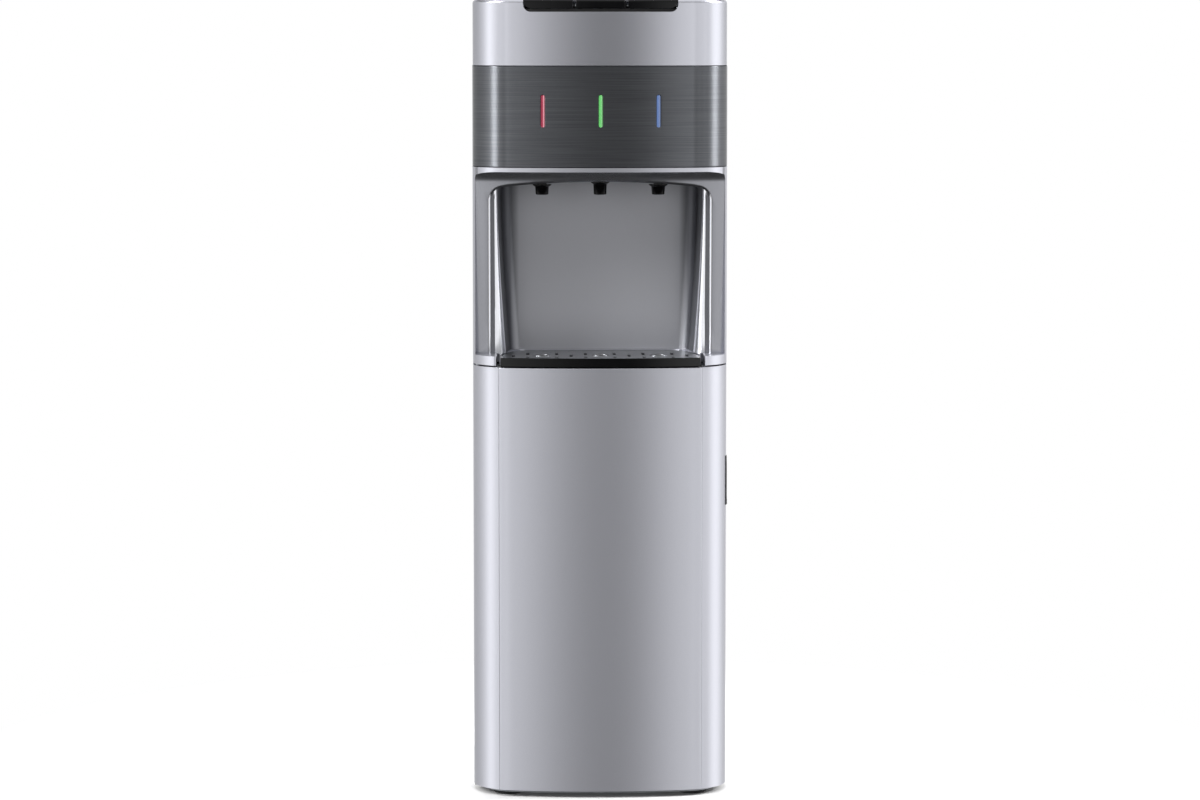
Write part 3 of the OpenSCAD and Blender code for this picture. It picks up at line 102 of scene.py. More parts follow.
# Moulded natural rubber: near black and matt.
moulded_rubber = surface("moulded_rubber", "#151516", "#1d1d1e", 3, bump=0.2, Roughness=0.75)
dress(galvanised_sheet, "base_pan", "partition", "mid_deck", "rear_panel")
dress(moulded_rubber, "feet")


# Side panels: cold-rolled sheet folded at both ends, powder coated before assembly. They hang
# between the base pan and the cap.

# Silver powder coat: a satin grey with a faint orange peel, duller than the sprayed mouldings.
silver_powder_coat = surface(
    "silver_powder_coat", "#898b91", "#8f9197", 1.6, bump=0.12, Metallic=0.45, Roughness=0.42
)
dress(silver_powder_coat, "side_panel_left", "side_panel_right")


# Cooling circuit: an enamelled compressor on rubber grommets and a wire-on-tube condenser held
# by clips, joined by copper tube that is bent by hand and brazed at each end.

# Stoved black enamel: thick, smooth and slightly wavy.
stoved_enamel = surface("stoved_enamel", "#121213", "#19191a", 30, bump=0.05, Roughness=0.3)
# Drawn copper: bright when new, with faint darker bands from handling.
drawn_copper = surface(
    "drawn_copper", "#a5623c", "#bd7a4f", 25, bump=0.05, Metallic=1.0, Roughness=0.3
)
dress(stoved_enamel, "compressor", "condenser")
dress(galvanised_sheet, "condenser_clips")
dress(moulded_rubber, "grommets")
dress(drawn_copper, "evaporator", "filter_drier", "refrigerant_pipes")


# Tanks: deep-drawn stainless steel with welded lids. The cold one is wrapped by the
# evaporator and white foam, the hot one by dark foam, with thermostats clipped on its lid.

# Drawn stainless steel: faint lines round the wall from the die.
drawn_stainless = surface(
    "drawn_stainless",
    "#a8a9ab",
    "#b9babc",
    3,
    stretch=(1, 1, 0.1),
    bump=0.05,
    Metallic=1.0,
    Roughness=0.28,
)
# Moulded polystyrene foam: white beads about 3 mm across.
moulded_foam = surface("moulded_foam", "#d8d8d2", "#e8e8e4", 3, bump=0.6, Roughness=0.85)
# Closed-cell rubber foam: dark grey and soft.
dark_cell_foam = surface("dark_cell_foam", "#252527", "#303033", 1.5, bump=0.5, Roughness=0.9)
# Phenolic moulding: black, hard and semi-matt.
phenolic_moulding = surface(
    "phenolic_moulding", "#171718", "#1f1f21", 2, bump=0.15, Roughness=0.5
)
dress(drawn_stainless, "hot_tank", "cold_tank")
dress(moulded_foam, "cold_jacket")
dress(dark_cell_foam, "hot_jacket")
dress(phenolic_moulding, "thermostats")


# Filters: three white cartridges that twist into one moulded manifold under the deck, and the
# translucent tubes that are pushed into their fittings.

# Natural polypropylene: milky white with a fine moulded texture.
moulded_polypropylene = surface(
    "moulded_polypropylene", "#e3e3dd", "#ecece7", 4, bump=0.08, Roughness=0.42
)
# Polyethylene tube: whitish and waxy.
polyethylene_tube = surface(
    "polyethylene_tube", "#cfd6da", "#dde3e6", 6, bump=0.03, Roughness=0.3
)
dress(moulded_polypropylene, "filter_manifold")
dress(moulded_polypropylene, "cartridge_left", "cartridge_middle", "cartridge_right")
dress(polyethylene_tube, "water_tubes")


# Controls: a moulded case for the boards and relays, fixed inside the rear panel, and one
# solenoid valve over each nozzle.

# Grey-white ABS, as it comes from the mould.
moulded_liner = surface("moulded_liner", "#a9aaa7", "#b1b2af", 2, bump=0.1, Roughness=0.5)
dress(moulded_liner, "control_box")
dress(moulded_polypropylene, "solenoid_valves")


# Rear fittings: the water inlet, the drain with a blue cap that unscrews by hand, the cord gland,
# two rocker switches, and the screws of the rear panel.

# Coloured ABS: moulded through in one colour.
blue_moulding = surface("blue_moulding", "#23498c", "#2b5299", 3, bump=0.05, Roughness=0.4)
red_moulding = surface("red_moulding", "#9c1524", "#aa1d2c", 3, bump=0.05, Roughness=0.35)
green_moulding = surface("green_moulding", "#1f6a33", "#27783c", 3, bump=0.05, Roughness=0.35)
# Zinc-plated steel: bright, with a slight blue tone.
zinc_plated_steel = surface(
    "zinc_plated_steel", "#b5b8bc", "#c4c7ca", 5, bump=0.05, Metallic=1.0, Roughness=0.25
)
dress(moulded_polypropylene, "inlet_fitting", "drain_fitting")
dress(blue_moulding, "drain_cap")
dress(red_moulding, "rocker_hot")
dress(green_moulding, "rocker_cold")
dress(phenolic_moulding, "cord_gland", "rocker_housings")
dress(zinc_plated_steel, "rear_screws")


# Ledges round the drip tray: one ABS moulding, sprayed silver. Its two ends show beside the
# tray, and its middle is the pocket that the tray slides in.

# Lengths are in millimetres. The front of the body is bowed, and its corners are rounded and run
# into the bow without an edge.
front_y, side_y, half_w = -182.5, -102.5, 165.0
front_r, corner_r = 640.0, 58.0
corner_x = half_w - corner_r
corner_dep = front_r - math.sqrt((front_r - corner_r) ** 2 - corner_x**2)
meet_angle = math.degrees(math.asin(corner_x / (front_r - corner_r)))
# The mouldings have 2.5 mm walls, stop 0.3 mm short of the side panels, and reach in between them.
wall, side_gap, inner_half = 2.5, 0.3, 149.7
ledge_z0, ledge_z1, shelf_back = 562.0, 574.0, -47.0
ledge_end, ledge_r = 134.0, 2.4


def bow(x):
    """Depth of the bowed front behind its apex at x."""
    return front_r - math.sqrt(front_r**2 - x * x)


def corner(side, inset, steps=22, back=0.0):
    """Points of one front corner, from the side towards the front."""
    r = corner_r - inset
    turn = [math.radians(i * (90 - meet_angle) / steps) for i in range(steps + 1)]
    centre_y = front_y + corner_dep + back
    return [(side * (corner_x + r * math.cos(a)), centre_y - r * math.sin(a)) for a in turn]


def front(inset, back):
    """Points of the bowed front between the two corners, from left to right."""
    r, steps = front_r - inset, 44
    turn = [math.radians(meet_angle * (2 * i / steps - 1)) for i in range(1, steps)]
    return [(r * math.sin(a), front_y + front_r + back - r * math.cos(a)) for a in turn]


def outline(inset, rear, back=0.0):
    """The body seen from above, from the left rear round the front to the right rear."""
    left = corner(-1, inset, back=back) + front(inset, back)
    whole = left + corner(1, inset, back=back)[::-1]
    return [(-(half_w - inset), rear)] + whole + [(half_w - inset, rear)]


def piece(name, points, faces):
    """A mesh object from points in millimetres, with its faces turned outwards."""
    mesh = bpy.data.meshes.new(name)
    mesh.from_pydata([(x / 1000, y / 1000, z / 1000) for x, y, z in points], [], faces)
    work = bmesh.new()
    work.from_mesh(mesh)
    bmesh.ops.recalc_face_normals(work, faces=work.faces)
    work.to_mesh(mesh)
    work.free()
    made = bpy.data.objects.new(name, mesh)
    bpy.context.scene.collection.objects.link(made)
    return made


def stack(name, rings):
    """A closed solid through rings that all have the same count of points."""
    n = len(rings[0])
    faces = [
        (k * n + i, k * n + (i + 1) % n, (k + 1) * n + (i + 1) % n, (k + 1) * n + i)
        for k in range(len(rings) - 1)
        for i in range(n)
    ]
    faces += [tuple(reversed(range(n))), tuple((len(rings) - 1) * n + i for i in range(n))]
    return piece(name, [p for ring in rings for p in ring], faces)


def level(points, z):
    """A plan laid at a height."""
    return [(x, y, z) for x, y in points]


def prism(name, points, z0, z1):
    """An upright solid on a plan."""
    return stack(name, [level(points, z0), level(points, z1)])


def block(name, x0, x1, y0, y1, z0, z1):
    """A square-edged solid between six planes."""
    return prism(name, [(x0, y0), (x1, y0), (x1, y1), (x0, y1)], z0, z1)


def rod(name, x, y, z0, z1, r, steps=40):
    """An upright round solid."""
    turn = [2 * math.pi * i / steps for i in range(steps)]
    return prism(name, [(x + r * math.cos(a), y + r * math.sin(a)) for a in turn], z0, z1)


def flatten(made):
    """Turns the modifiers of an object into a plain mesh."""
    evaluated = made.evaluated_get(bpy.context.evaluated_depsgraph_get())
    mesh = bpy.data.meshes.new_from_object(evaluated)
    made.modifiers.clear()
    made.data = mesh
    mesh.name = made.name


def carve(base, join=(), keep=(), cut=()):
    """Joins, intersects and cuts solids in that order, and removes the tools."""
    for kind, tools in (("UNION", join), ("INTERSECT", keep), ("DIFFERENCE", cut)):
        for tool in tools:
            step = base.modifiers.new("carve", "BOOLEAN")
            step.operation, step.object, step.solver = kind, tool, "MANIFOLD"
    flatten(base)
    for tool in (*join, *keep, *cut):
        bpy.data.objects.remove(tool)
    return base


def ease(made, width, segments):
    """Rounds the sharp edges as a tool leaves them, and shades the curves smooth."""
    step = made.modifiers.new("ease", "BEVEL")
    step.width, step.segments, step.limit_method = width / 1000, segments, "ANGLE"
    step.angle_limit, step.use_clamp_overlap = math.radians(38), True
    flatten(made)
    made.data.shade_smooth()
    made.data.set_sharp_from_angle(angle=math.radians(32))
    made.modifiers.new("even", "WEIGHTED_NORMAL").keep_sharp = True
    flatten(made)
    return made


def fit(made, finish, body, *stands_for):
    """Gives a piece its finish and its body, in place of the CAD pieces that it stands for."""
    made.data.materials.clear()
    made.data.materials.append(finish)
    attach(made, body)
    if stands_for:
        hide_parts(*stands_for)
    return made


def ledge(side, inset):
    """Outline of one ledge, from its inner end round the corner to the side panel."""
    y0 = front_y + bow(ledge_end)
    arc = [p for p in corner(side, inset, 30)[::-1] if abs(p[0]) > ledge_end + ledge_r]
    r, tip = max(0.3, ledge_r - inset), ledge_end + max(ledge_r, inset + 0.3)
    turn = [math.radians(9 * i) for i in range(1, 11)]
    tip_y = y0 + 2.8 + max(0.0, inset - 2.1)
    inner = [(side * (tip - r * math.sin(a)), tip_y - r * math.cos(a)) for a in turn]
    rear = side_y - side_gap - inset
    ends = [(side * (half_w - inset), rear), (side * (ledge_end + inset), rear)]
    return ends + inner[::-1] + arc


tray_half, tray_depth, tray_corner = 128.7, 125.0, (32.0, 100.0)


def tray_outline(grow, ahead=0.0):
    """The drip tray seen from above: a bowed front and two long elliptical rear corners."""
    cx, cy = tray_corner
    turn = [math.radians(90 * i / 24) for i in range(25)]
    flank = [(tray_half - cx + (cx + grow) * math.cos(a), (cy + grow) * math.sin(a)) for a in turn]
    right = [(x, front_y + tray_depth - cy + y) for x, y in flank]
    left = [(-x, y) for x, y in right[::-1]]
    w = tray_half + grow
    across = [w * (2 * i / 40 - 1) for i in range(41)]
    return [(x, front_y + bow(x) - grow - ahead) for x in across] + right + left


# The pocket has 0.6 mm of room round the tray, and its rear half has a wall of its own. One leg
# stands under the moulding at each side.
tray_room, pocket_z, pocket_foot, wall_from = 0.6, 561.4, 560.0, -137
leg_x, leg_w, leg_foot = 141.5, 3, 553.5
shelf = block(
    "shelf_moulding_skin", -inner_half, inner_half, side_y - 2, shelf_back, ledge_z0, ledge_z1
)
pocket = carve(
    prism("pocket", tray_outline(wall), pocket_foot, ledge_z1),
    keep=[block("rear", -200, 200, wall_from, 200, 500, 600)],
)
legs = [
    block("leg", x, x + leg_w, side_y + 8, shelf_back, leg_foot, ledge_z0 + 1)
    for x in (-leg_x - leg_w, leg_x)
]
carve(
    shelf,
    join=[
        *[prism("ledge", ledge(side, 0), ledge_z0, ledge_z1) for side in (-1, 1)],
        pocket,
        *legs,
    ],
    cut=[
        prism("tray_way", tray_outline(tray_room, 30), pocket_z, ledge_z1 + 1),
        *[
            prism("hollow", ledge(side, wall), ledge_z0 - 1, ledge_z1 - wall)
            for side in (-1, 1)
        ],
    ],
)
# Silver metallic paint: aluminium flakes in a clear binder, sprayed, so it mirrors broadly.
silver_metallic_paint = surface(
    "silver_metallic_paint", "#c2c3cb", "#c8c9d1", 0.6, bump=0.02, Metallic=0.9, Roughness=0.3
)
fit(ease(shelf, 0.6, 3), silver_metallic_paint, "housing", "shelf_moulding")


# Bay moulding: ABS, moulded in one and sprayed in several coats. A frame that leans back follows
# the bowed front, inside a bright border whose corners sweep up into the lip at its head, and the
# arched cavity in it narrows towards the tray.
bay_z1, lip_z = 817.0, 811.5
arch_half, arch_top, arch_r, arch_corner, arch_foot = 141.5, 798.0, 1150.0, 17.0, 554.0
back_wall, roof_back = -51.5, -49.0
# The frame is set back at its head, leans further back towards the tray, and ends in a cove.
setback, lean_back, frame_r = 33.0, 10.4, 850.0
cove_r, cove_z, cove_rise = 22.0, 796.0, 20.0
frame_half, sweep_x, sweep_z = 161.6, 30.0, 6.5
# Tools for carving the frame reach past both sides of the body.
past_side, past_front = 174.0, -220.0
# The cavity starts with a flat step. Then comes a convex roll, from the first angle to the last,
# a cheek, and a fillet into the back wall.
step_x, step_y, edge_r = 4.2, 4.5, 3.5
roll_first, roll_last, roll_r, roll_growth = math.radians(8), math.radians(80), 5.0, 13.5
cheek, fillet_r = 4.0, 14.0
# The nozzles stand in a row under the light bars.
nozzle_xs, nozzle_y, boss_r, stem_way_r = (-75, 0, 75), front_y + 50, 11, 6.3


def lean(z):
    """Setback of the bay frame at a height, with the cove that closes it under the lip."""
    up = min(cove_rise, max(0.0, z - cove_z))
    cove = cove_r - math.sqrt(cove_r**2 - up * up)
    return setback + lean_back * (bay_z1 - z) / (bay_z1 - ledge_z1) - cove


def frame_face(x, z):
    """Depth of the face of the bay frame, which is flatter than the front of the body."""
    return front_y + frame_r - math.sqrt(frame_r**2 - x * x) + lean(z)


def moved(points, dy):
    """A plan shifted backwards."""
    return [(x, y + dy) for x, y in points]


def through(name, shape, y0, y1):
    """A solid that runs from front to back on a shape of x and z."""
    return stack(name, [[(x, y, z) for x, z in shape] for y in (y0, y1)])


def beside_frame(name, edge_y, off, step):
    """What lies between an upright plane and the face of the frame, or a face set off from it."""
    heights = [ledge_z1 - 8 + 27.5 * i for i in range(9)]
    heights += [cove_z + 1 + step * i for i in range(int(18 / step) + 1)] + [bay_z1 + 1]
    wide = [past_side * (2 * i / 60 - 1) for i in range(61)]
    rings = []
    for z in heights:
        face = [(x, frame_face(x, z) + off) for x in wide]
        rings.append(level([(-past_side, edge_y)] + face + [(past_side, edge_y)], z))
    return stack(name, rings)


def recess(name):
    """What lies ahead of the leaning frame, inside its border and its lip with swept ends."""
    sweep = [math.radians(6 * i) for i in range(16)]
    side = [(frame_half, ledge_z1 - 20)]
    for a in sweep:
        side.append((frame_half - sweep_x * (1 - math.cos(a)), lip_z - sweep_z * (1 - math.sin(a))))
    window = side + [(-x, z) for x, z in side[::-1]]
    return carve(
        beside_frame(name, past_front, 0.0, 1.5),
        keep=[through("window", window, past_front - 10, 0.0)],
    )


def arch(grow):
    """The arched opening seen from the front, as x and z."""
    w, top, r = arch_half + grow, arch_top + grow, arch_corner + grow
    drop = arch_r - math.sqrt(arch_r**2 - w * w)
    cx, cz = w - r, top - drop - r + 1.4
    turn = [math.radians(a) for a in range(0, 84, 4)]
    crown = [cx * i / 24 for i in range(23, 0, -1)]
    side = [(w, arch_foot)] + [(cx + r * math.cos(a), cz + r * math.sin(a)) for a in turn]
    side += [(x, top - (arch_r - math.sqrt(arch_r**2 - x**2))) for x in crown]
    return side + [(0.0, top)] + [(-x, z) for x, z in side[::-1]]


def roll_end(z):
    """Where the roll of the cavity starts and ends at a height, and its radius."""
    low = max(0.0, (arch_top - z) / (arch_top - ledge_z1))
    r, y = roll_r + roll_growth * low**1.6, frame_face(arch_half, z) + step_y
    return y, y + 0.3 + r * (math.cos(roll_first) - math.cos(roll_last)), r


def cavity_ring(z, grow):
    """Plan of the cavity at a height. The roll widens towards the tray."""
    (y, _, r), start = roll_end(z), arch_half - step_x
    right = [(arch_half, y), (start, y + 0.3)]
    for i in range(1, 17):
        n = roll_first + (roll_last - roll_first) * i / 16
        x = start - r * (math.sin(n) - math.sin(roll_first))
        right.append((x, y + 0.3 + r * (math.cos(roll_first) - math.cos(n))))
    cx = right[-1][0] - cheek - fillet_r
    for i in range(13):
        a = math.radians(90 * i / 12)
        right.append((cx + fillet_r * math.cos(a), back_wall - fillet_r + fillet_r * math.sin(a)))
    right = [(x + grow, y + grow * 0.6) for x, y in right]
    left = [(-x, y) for x, y in right[::-1]]
    return level([(-(arch_half + grow), -185.0), (arch_half + grow, -185.0)] + right + left, z)


def cavity(name, grow, below):
    """The arched cavity as a solid, grown by a wall or by nothing. It starts below the ledges."""
    heights = [ledge_z1 - below] + [ledge_z1 + 25 * i for i in range(1, 9)] + [arch_top + 6]
    return carve(
        stack(name, [cavity_ring(z, grow) for z in heights]),
        keep=[through("arch", arch(grow), -190.0, 180.0)],
    )


def arch_edge(name):
    """What the rounded edge of the arch takes off the frame: a flare that follows its face."""
    turn = [math.radians(15 * i) for i in range(7)]
    rings = [(edge_r, -12.0)]
    rings += [(edge_r - edge_r * math.sin(a), edge_r - edge_r * math.cos(a)) for a in turn]
    rings.append((0.0, edge_r + 1.5))
    return stack(name, [[(x, frame_face(x, z) + d, z) for x, z in arch(g)] for g, d in rings])


inside = prism("inside", moved(outline(2.6, -61.0), 12.0), ledge_z1, bay_z1)
walls = carve(cavity("bay_moulding_skin", wall, 0.0), keep=[inside])
hollow_back = carve(
    beside_frame("hollow_back", 0.0, wall, 3),
    keep=[prism("within", outline(2.9, side_y + 6), ledge_z1 - 9, bay_z1 - wall)],
)
frame_skin = carve(
    prism("frame_skin", outline(0.0, side_y - side_gap), ledge_z1, bay_z1),
    cut=[recess("recess"), hollow_back],
)
bay = carve(
    walls,
    join=[
        frame_skin,
        block("roof", -inner_half, inner_half, side_y - 2, roof_back, bay_z1 - wall, bay_z1),
        *[rod("boss", x, nozzle_y, arch_top + 1, bay_z1 - 1, boss_r) for x in nozzle_xs],
    ],
    cut=[
        cavity("hollow", 0.0, 3.0),
        recess("ahead"),
        arch_edge("edge"),
        *[
            rod("stem_way", x, nozzle_y, arch_top - 20, bay_z1 + 1, stem_way_r)
            for x in nozzle_xs
        ],
    ],
)
# Satin grey paint on the frame: aluminium flake, less bright than the outer panels.
satin_grey_paint = surface(
    "satin_grey_paint", "#9a9ba1", "#a0a1a7", 0.6, bump=0.02, Metallic=0.9, Roughness=0.27
)
fit(ease(bay, 0.5, 2), satin_grey_paint, "housing", "bay_moulding")
# The cavity's back wall takes a light satin paint. From 105 to 117 mm off the middle its colour
# darkens to dark grey on the cheeks: painted shade for the deep sides of the cavity.
niche_paint_cheek_shade = surface(
    "niche_paint_cheek_shade", "#babbc1", "#bfc0c6", 0.6, bump=0.02, Metallic=0.9, Roughness=0.45
)
niche_tree = niche_paint_cheek_shade.node_tree
niche_shader = niche_tree.nodes["Principled BSDF"]
coat = niche_shader.inputs["Base Color"].links[0].from_socket
place = add(niche_tree, "ShaderNodeTexCoord").outputs["Object"]
across = add(niche_tree, "ShaderNodeSeparateXYZ", {"Vector": place}).outputs["X"]
reach = add(niche_tree, "ShaderNodeMath", {"Value": across}, operation="ABSOLUTE").outputs["Value"]
# Painted shade: past 105 mm off the middle the colour turns dark grey on the cheeks.
bounds = {"Value": reach, "From Min": 0.105, "From Max": 0.117}
cheek_shade_mask = add(niche_tree, "ShaderNodeMapRange", bounds).outputs["Result"]
tones = {"Fac": cheek_shade_mask, "Color1": coat, "Color2": linear("#5e5f64")}
coat_with_cheek_shade = add(niche_tree, "ShaderNodeMixRGB", tones).outputs["Color"]
niche_tree.links.new(coat_with_cheek_shade, niche_shader.inputs["Base Color"])
# Dark grey ABS on the ceiling of the cavity, as it comes from the mould; its dark tone also paints
# the shade under the head of the arch.
grey_abs_ceiling_shade = surface("grey_abs_ceiling_shade", "#2c2d30", "#333438", 2, bump=0.1, Roughness=0.5)
# Bright silver on the roll of the cavity: a lighter, glossier copy of the silver paint, whose
# lighter colour is a painted highlight along the roll.
roll_silver_painted_highlight = surface(
    "roll_silver_painted_highlight", "#eeeff4", "#f2f3f8", 0.6, Metallic=0.95, Roughness=0.2
)
on_border, on_back, on_ceiling, on_roll = 1, 2, 3, 4
for finish in (silver_metallic_paint, niche_paint_cheek_shade, grey_abs_ceiling_shade, roll_silver_painted_highlight):
    bay.data.materials.append(finish)
# The margins, in millimetres, allow for the eased edges.
for face in bay.data.polygons:
    spot, facing = face.center * 1000, face.normal
    off_centre = abs(spot.x)
    deep = spot.y > frame_face(arch_half, spot.z) + 4.0
    ahead = spot.y < frame_face(min(161.0, off_centre), min(spot.z, bay_z1)) - 1.0
    border = ahead or off_centre > frame_half - 0.2 or spot.z > lip_z + 0.3
    in_cavity = off_centre < arch_half - 3.9 and deep and spot.y < back_wall + 0.6
    beside_arch = arch_half - 0.2 < off_centre < arch_half + 3.4
    overhead = 770 < spot.z < arch_top and facing.z < -0.12
    if spot.y < side_y and border:
        face.material_index = on_border
    elif in_cavity and facing.y < 0.2 and abs(facing.z) < 0.5:
        face.material_index = on_back if spot.y > roll_end(spot.z)[1] - 0.8 else on_roll
    elif beside_arch and not deep and spot.y < -100 and 0.2 < abs(facing.x) < 0.97:
        face.material_index = on_roll
    elif overhead and spot.y > frame_face(spot.x, spot.z) + 0.12:
        face.material_index = on_ceiling


# Nozzles: three alike black ABS mouldings, pushed through the ceiling of the bay into the
# valves behind it.

# Polished black ABS: a deep gloss from a polished mould.
polished_black_abs = surface(
    "polished_black_abs", "#030304", "#050506", 8, Roughness=0.08, IOR=1.36
)


def lathe(name, profile, x, y):
    """A closed ring of revolution about an upright line, from a profile of radius and height."""
    n, steps = len(profile), 48
    points = [
        (x + r * math.cos(2 * math.pi * k / steps), y + r * math.sin(2 * math.pi * k / steps), z)
        for k in range(steps)
        for r, z in profile
    ]
    faces = []
    for k in range(steps):
        a, b = k * n, (k + 1) % steps * n
        faces += [(a + i, a + (i + 1) % n, b + (i + 1) % n, b + i) for i in range(n)]
    return piece(name, points, faces)


bore_r, stem_r, seat_r = 4.2, 6.0, 12.2
for i, x in enumerate(nozzle_xs):
    top = arch_top - (abs(x) + 12.4) ** 2 / (2 * arch_r) - 0.1
    foot = arch_top - 17.0
    # From the mouth up the outside to the seat under the ceiling, then the stem into the valve.
    profile = [(bore_r, foot + 0.4), (4.6, foot), (7.2, foot), (8.0, foot + 0.4)]
    profile += [(8.3, foot + 1.2), (9.0, top - 3.6), (9.4, top - 3.1), (11.8, top - 1.4)]
    profile += [(seat_r, top - 1.0), (seat_r, top - 0.2), (12.0, top), (stem_r, top)]
    profile += [(stem_r, bay_z1 + 5), (bore_r, bay_z1 + 5)]
    nozzle = lathe(f"nozzle_skin_{i}", profile, x, nozzle_y)
    nozzle.data.shade_smooth()
    nozzle.data.set_sharp_from_angle(angle=math.radians(40))
    # The CAD holds the three as one piece, and the middle one stands for it.
    fit(nozzle, polished_black_abs, "housing", *(["nozzles"] if x == 0 else []))


# Control panel: a bowed ABS front wrapped in dark film with a level brushed grain. Three light
# bars pass through it, each a coloured light pipe ahead of its lamps on a green board.
panel_z0, panel_z1 = 817.9, 946.6
light_xs, light_z, light_half, light_long = (-74, 0, 74), panel_z0 + 72, 3.0, 41.0

# Brushed dark film: level scratches about 0.3 mm apart, drawn 0.8 mm apart so that they show.
brushed_dark_film = surface(
    "brushed_dark_film",
    "#5c5e62",
    "#6e7074",
    0.8,
    stretch=(0.008, 0.008, 1.0),
    bump=0.02,
    Metallic=0.9,
    Roughness=0.28,
    Anisotropic=1.0,
    **{"Anisotropic Rotation": 0.25},
)
film_tree = brushed_dark_film.node_tree
round_axis = add(film_tree, "ShaderNodeTangent", direction_type="RADIAL", axis="Z").outputs[0]
film_tree.links.new(round_axis, film_tree.nodes["Principled BSDF"].inputs["Tangent"])
# Solder mask on a circuit board.
solder_mask = surface("solder_mask", "#1d5a2e", "#246a38", 6, Roughness=0.35)
dress(solder_mask, "indicator_board")


def light_way(x):
    """The slot of one light bar: a bar with round ends, right through the panel."""
    half, straight = light_half + 0.2, (light_long - 2 * light_half) / 2
    turn = [math.radians(180 * i / 16) for i in range(17)]
    upper, lower = light_z + straight, light_z - straight
    ends = [(x + half * math.cos(a), upper + half * math.sin(a)) for a in turn]
    ends += [(x - half * math.cos(a), lower - half * math.sin(a)) for a in turn]
    return through("light_way", ends, -190.0, -150.0)


panel = carve(
    prism("control_panel_skin", outline(0.0, side_y - side_gap), panel_z0, panel_z1),
    cut=[
        prism("panel_in", outline(wall, side_y + 1), panel_z0 - 1, panel_z1 + 1),
        *[light_way(x) for x in light_xs],
    ],
)
fit(ease(panel, 0.5, 2), brushed_dark_film, "housing", "control_panel")


def light_pipe(name, x, left, right, rim):
    """Tinted acrylic, lit from behind: two tones side by side, darker where it meets the slot."""
    made = surface(name, rim, rim, 1.5, Roughness=0.2)
    tree = made.node_tree
    body = tree.nodes["Principled BSDF"]
    place = add(tree, "ShaderNodeTexCoord").outputs["Object"]
    across = add(tree, "ShaderNodeSeparateXYZ", {"Vector": place}).outputs["X"]
    x0, x1 = (x - light_half) / 1000, (x + light_half) / 1000
    bounds = {"Value": across, "From Min": x0, "From Max": x1}
    fac = add(tree, "ShaderNodeMapRange", bounds).outputs["Result"]
    tone = add(tree, "ShaderNodeValToRGB", {"Fac": fac})
    stops = tone.color_ramp.elements
    tones = ((0.0, rim), (0.22, left), (0.5, left), (0.6, right), (1.0, rim))
    while len(stops) < len(tones):
        stops.new(0.5)
    for stop, (spot, shade) in zip(stops, tones):
        stop.position, stop.color = spot, linear(shade)
    for socket in ("Base Color", "Emission Color"):
        tree.links.new(tone.outputs["Color"], body.inputs[socket])
    body.inputs["Emission Strength"].default_value = 0.12
    return made


# Tinted acrylic light pipes: they glow a little even by day.
red_light_pipe = light_pipe("red_light_pipe", light_xs[0], "#7c2236", "#c07c87", "#2c1419")
green_light_pipe = light_pipe("green_light_pipe", light_xs[1], "#57a75b", "#74b476", "#1a301a")
blue_light_pipe = light_pipe("blue_light_pipe", light_xs[2], "#4d638f", "#69799f", "#18202e")
dress(red_light_pipe, "light_bar_hot")
dress(green_light_pipe, "light_bar_ambient")
dress(blue_light_pipe, "light_bar_cold")


# Top cap: one ABS moulding, sprayed with the same silver paint. A rolled edge runs round its
# top, one cut-out at the front takes the three keys, and four posts hold the carrier under them.
cap_z0, cap_top, cap_back, cap_inset = 947.6, 1032.0, 182.5, 0.6
keys_half, keys_z, keys_back = 99.0, 1016.0, 62.0
post_x, post_ys, post_z, post_r = 113.0, (front_y + 40, front_y + 80), 1004.5, 4.5


def cap_solid(name, inset, z0, drop, rolled=5.0):
    """The form of the cap, with its rolled top edge."""
    rings = [(z0, inset)]
    for i in range(13):
        a = math.radians(90 * i / 12)
        z = cap_top - drop - rolled + rolled * math.sin(a)
        rings.append((z, inset + rolled * (1 - math.cos(a))))
    return stack(name, [level(outline(extra, cap_back - extra), z) for z, extra in rings])


def key_window(name, half, z, deep):
    """A solid with rounded lower corners, from ahead of the cap back to a depth."""
    r = 9.6
    turn = [math.radians(90 * i / 14) for i in range(15)]
    right = [(half - r + r * math.sin(a), z + r - r * math.cos(a)) for a in turn]
    low = [(-x, h) for x, h in right[::-1]] + right
    shape = [(-half, cap_top + 10)] + low + [(half, cap_top + 10)]
    return through(name, shape, front_y - 10, front_y + deep)


posts = [(side * post_x, y) for side in (-1, 1) for y in post_ys]
cap_shell = carve(
    cap_solid("top_cap_skin", cap_inset, cap_z0, 0.0),
    cut=[cap_solid("cap_in", cap_inset + wall, cap_z0 - 1, wall)],
)
cap = carve(
    cap_shell,
    join=[rod("post", x, y, post_z, cap_top - 2.0, post_r, 24) for x, y in posts],
    cut=[key_window("window", keys_half, keys_z, keys_back)],
)
# Clear-coated silver: the same paint under a polished lacquer, so its bands are crisper.
lacquered_silver = surface(
    "lacquered_silver", "#c2c3cb", "#c8c9d1", 0.6, bump=0.01, Metallic=0.94, Roughness=0.25
)
fit(ease(cap, 0.9, 3), lacquered_silver, "housing", "top_cap")


# Keys: three polished black levers that wrap over the front edge of the cap. Each turns on one
# steel shaft behind it and works a microswitch, and the left one holds a red child-lock slide.
key_w, key_step, key_room = 62.8, 67.0, 0.6
shaft_y, shaft_z, shaft_way_r, hub_r = -127.5, 1023.0, 2.05, 5.0
key_turn = math.radians(4)
plunger_y, plunger_z = front_y + 32, 1019.61


def shaft_ring(x0, x1):
    """A hub round the shaft, bored to run on it."""
    steps = 36
    turn = [2 * math.pi * i / steps for i in range(steps)]
    profile = [(hub_r, x0), (hub_r, x1), (shaft_way_r, x1), (shaft_way_r, x0)]
    points = [
        (x, shaft_y + r * math.cos(a), shaft_z + r * math.sin(a)) for a in turn for r, x in profile
    ]
    faces = []
    for k in range(steps):
        a, b = k * 4, (k + 1) % steps * 4
        faces += [(a + i, a + (i + 1) % 4, b + (i + 1) % 4, b + i) for i in range(4)]
    return piece("hub", points, faces)


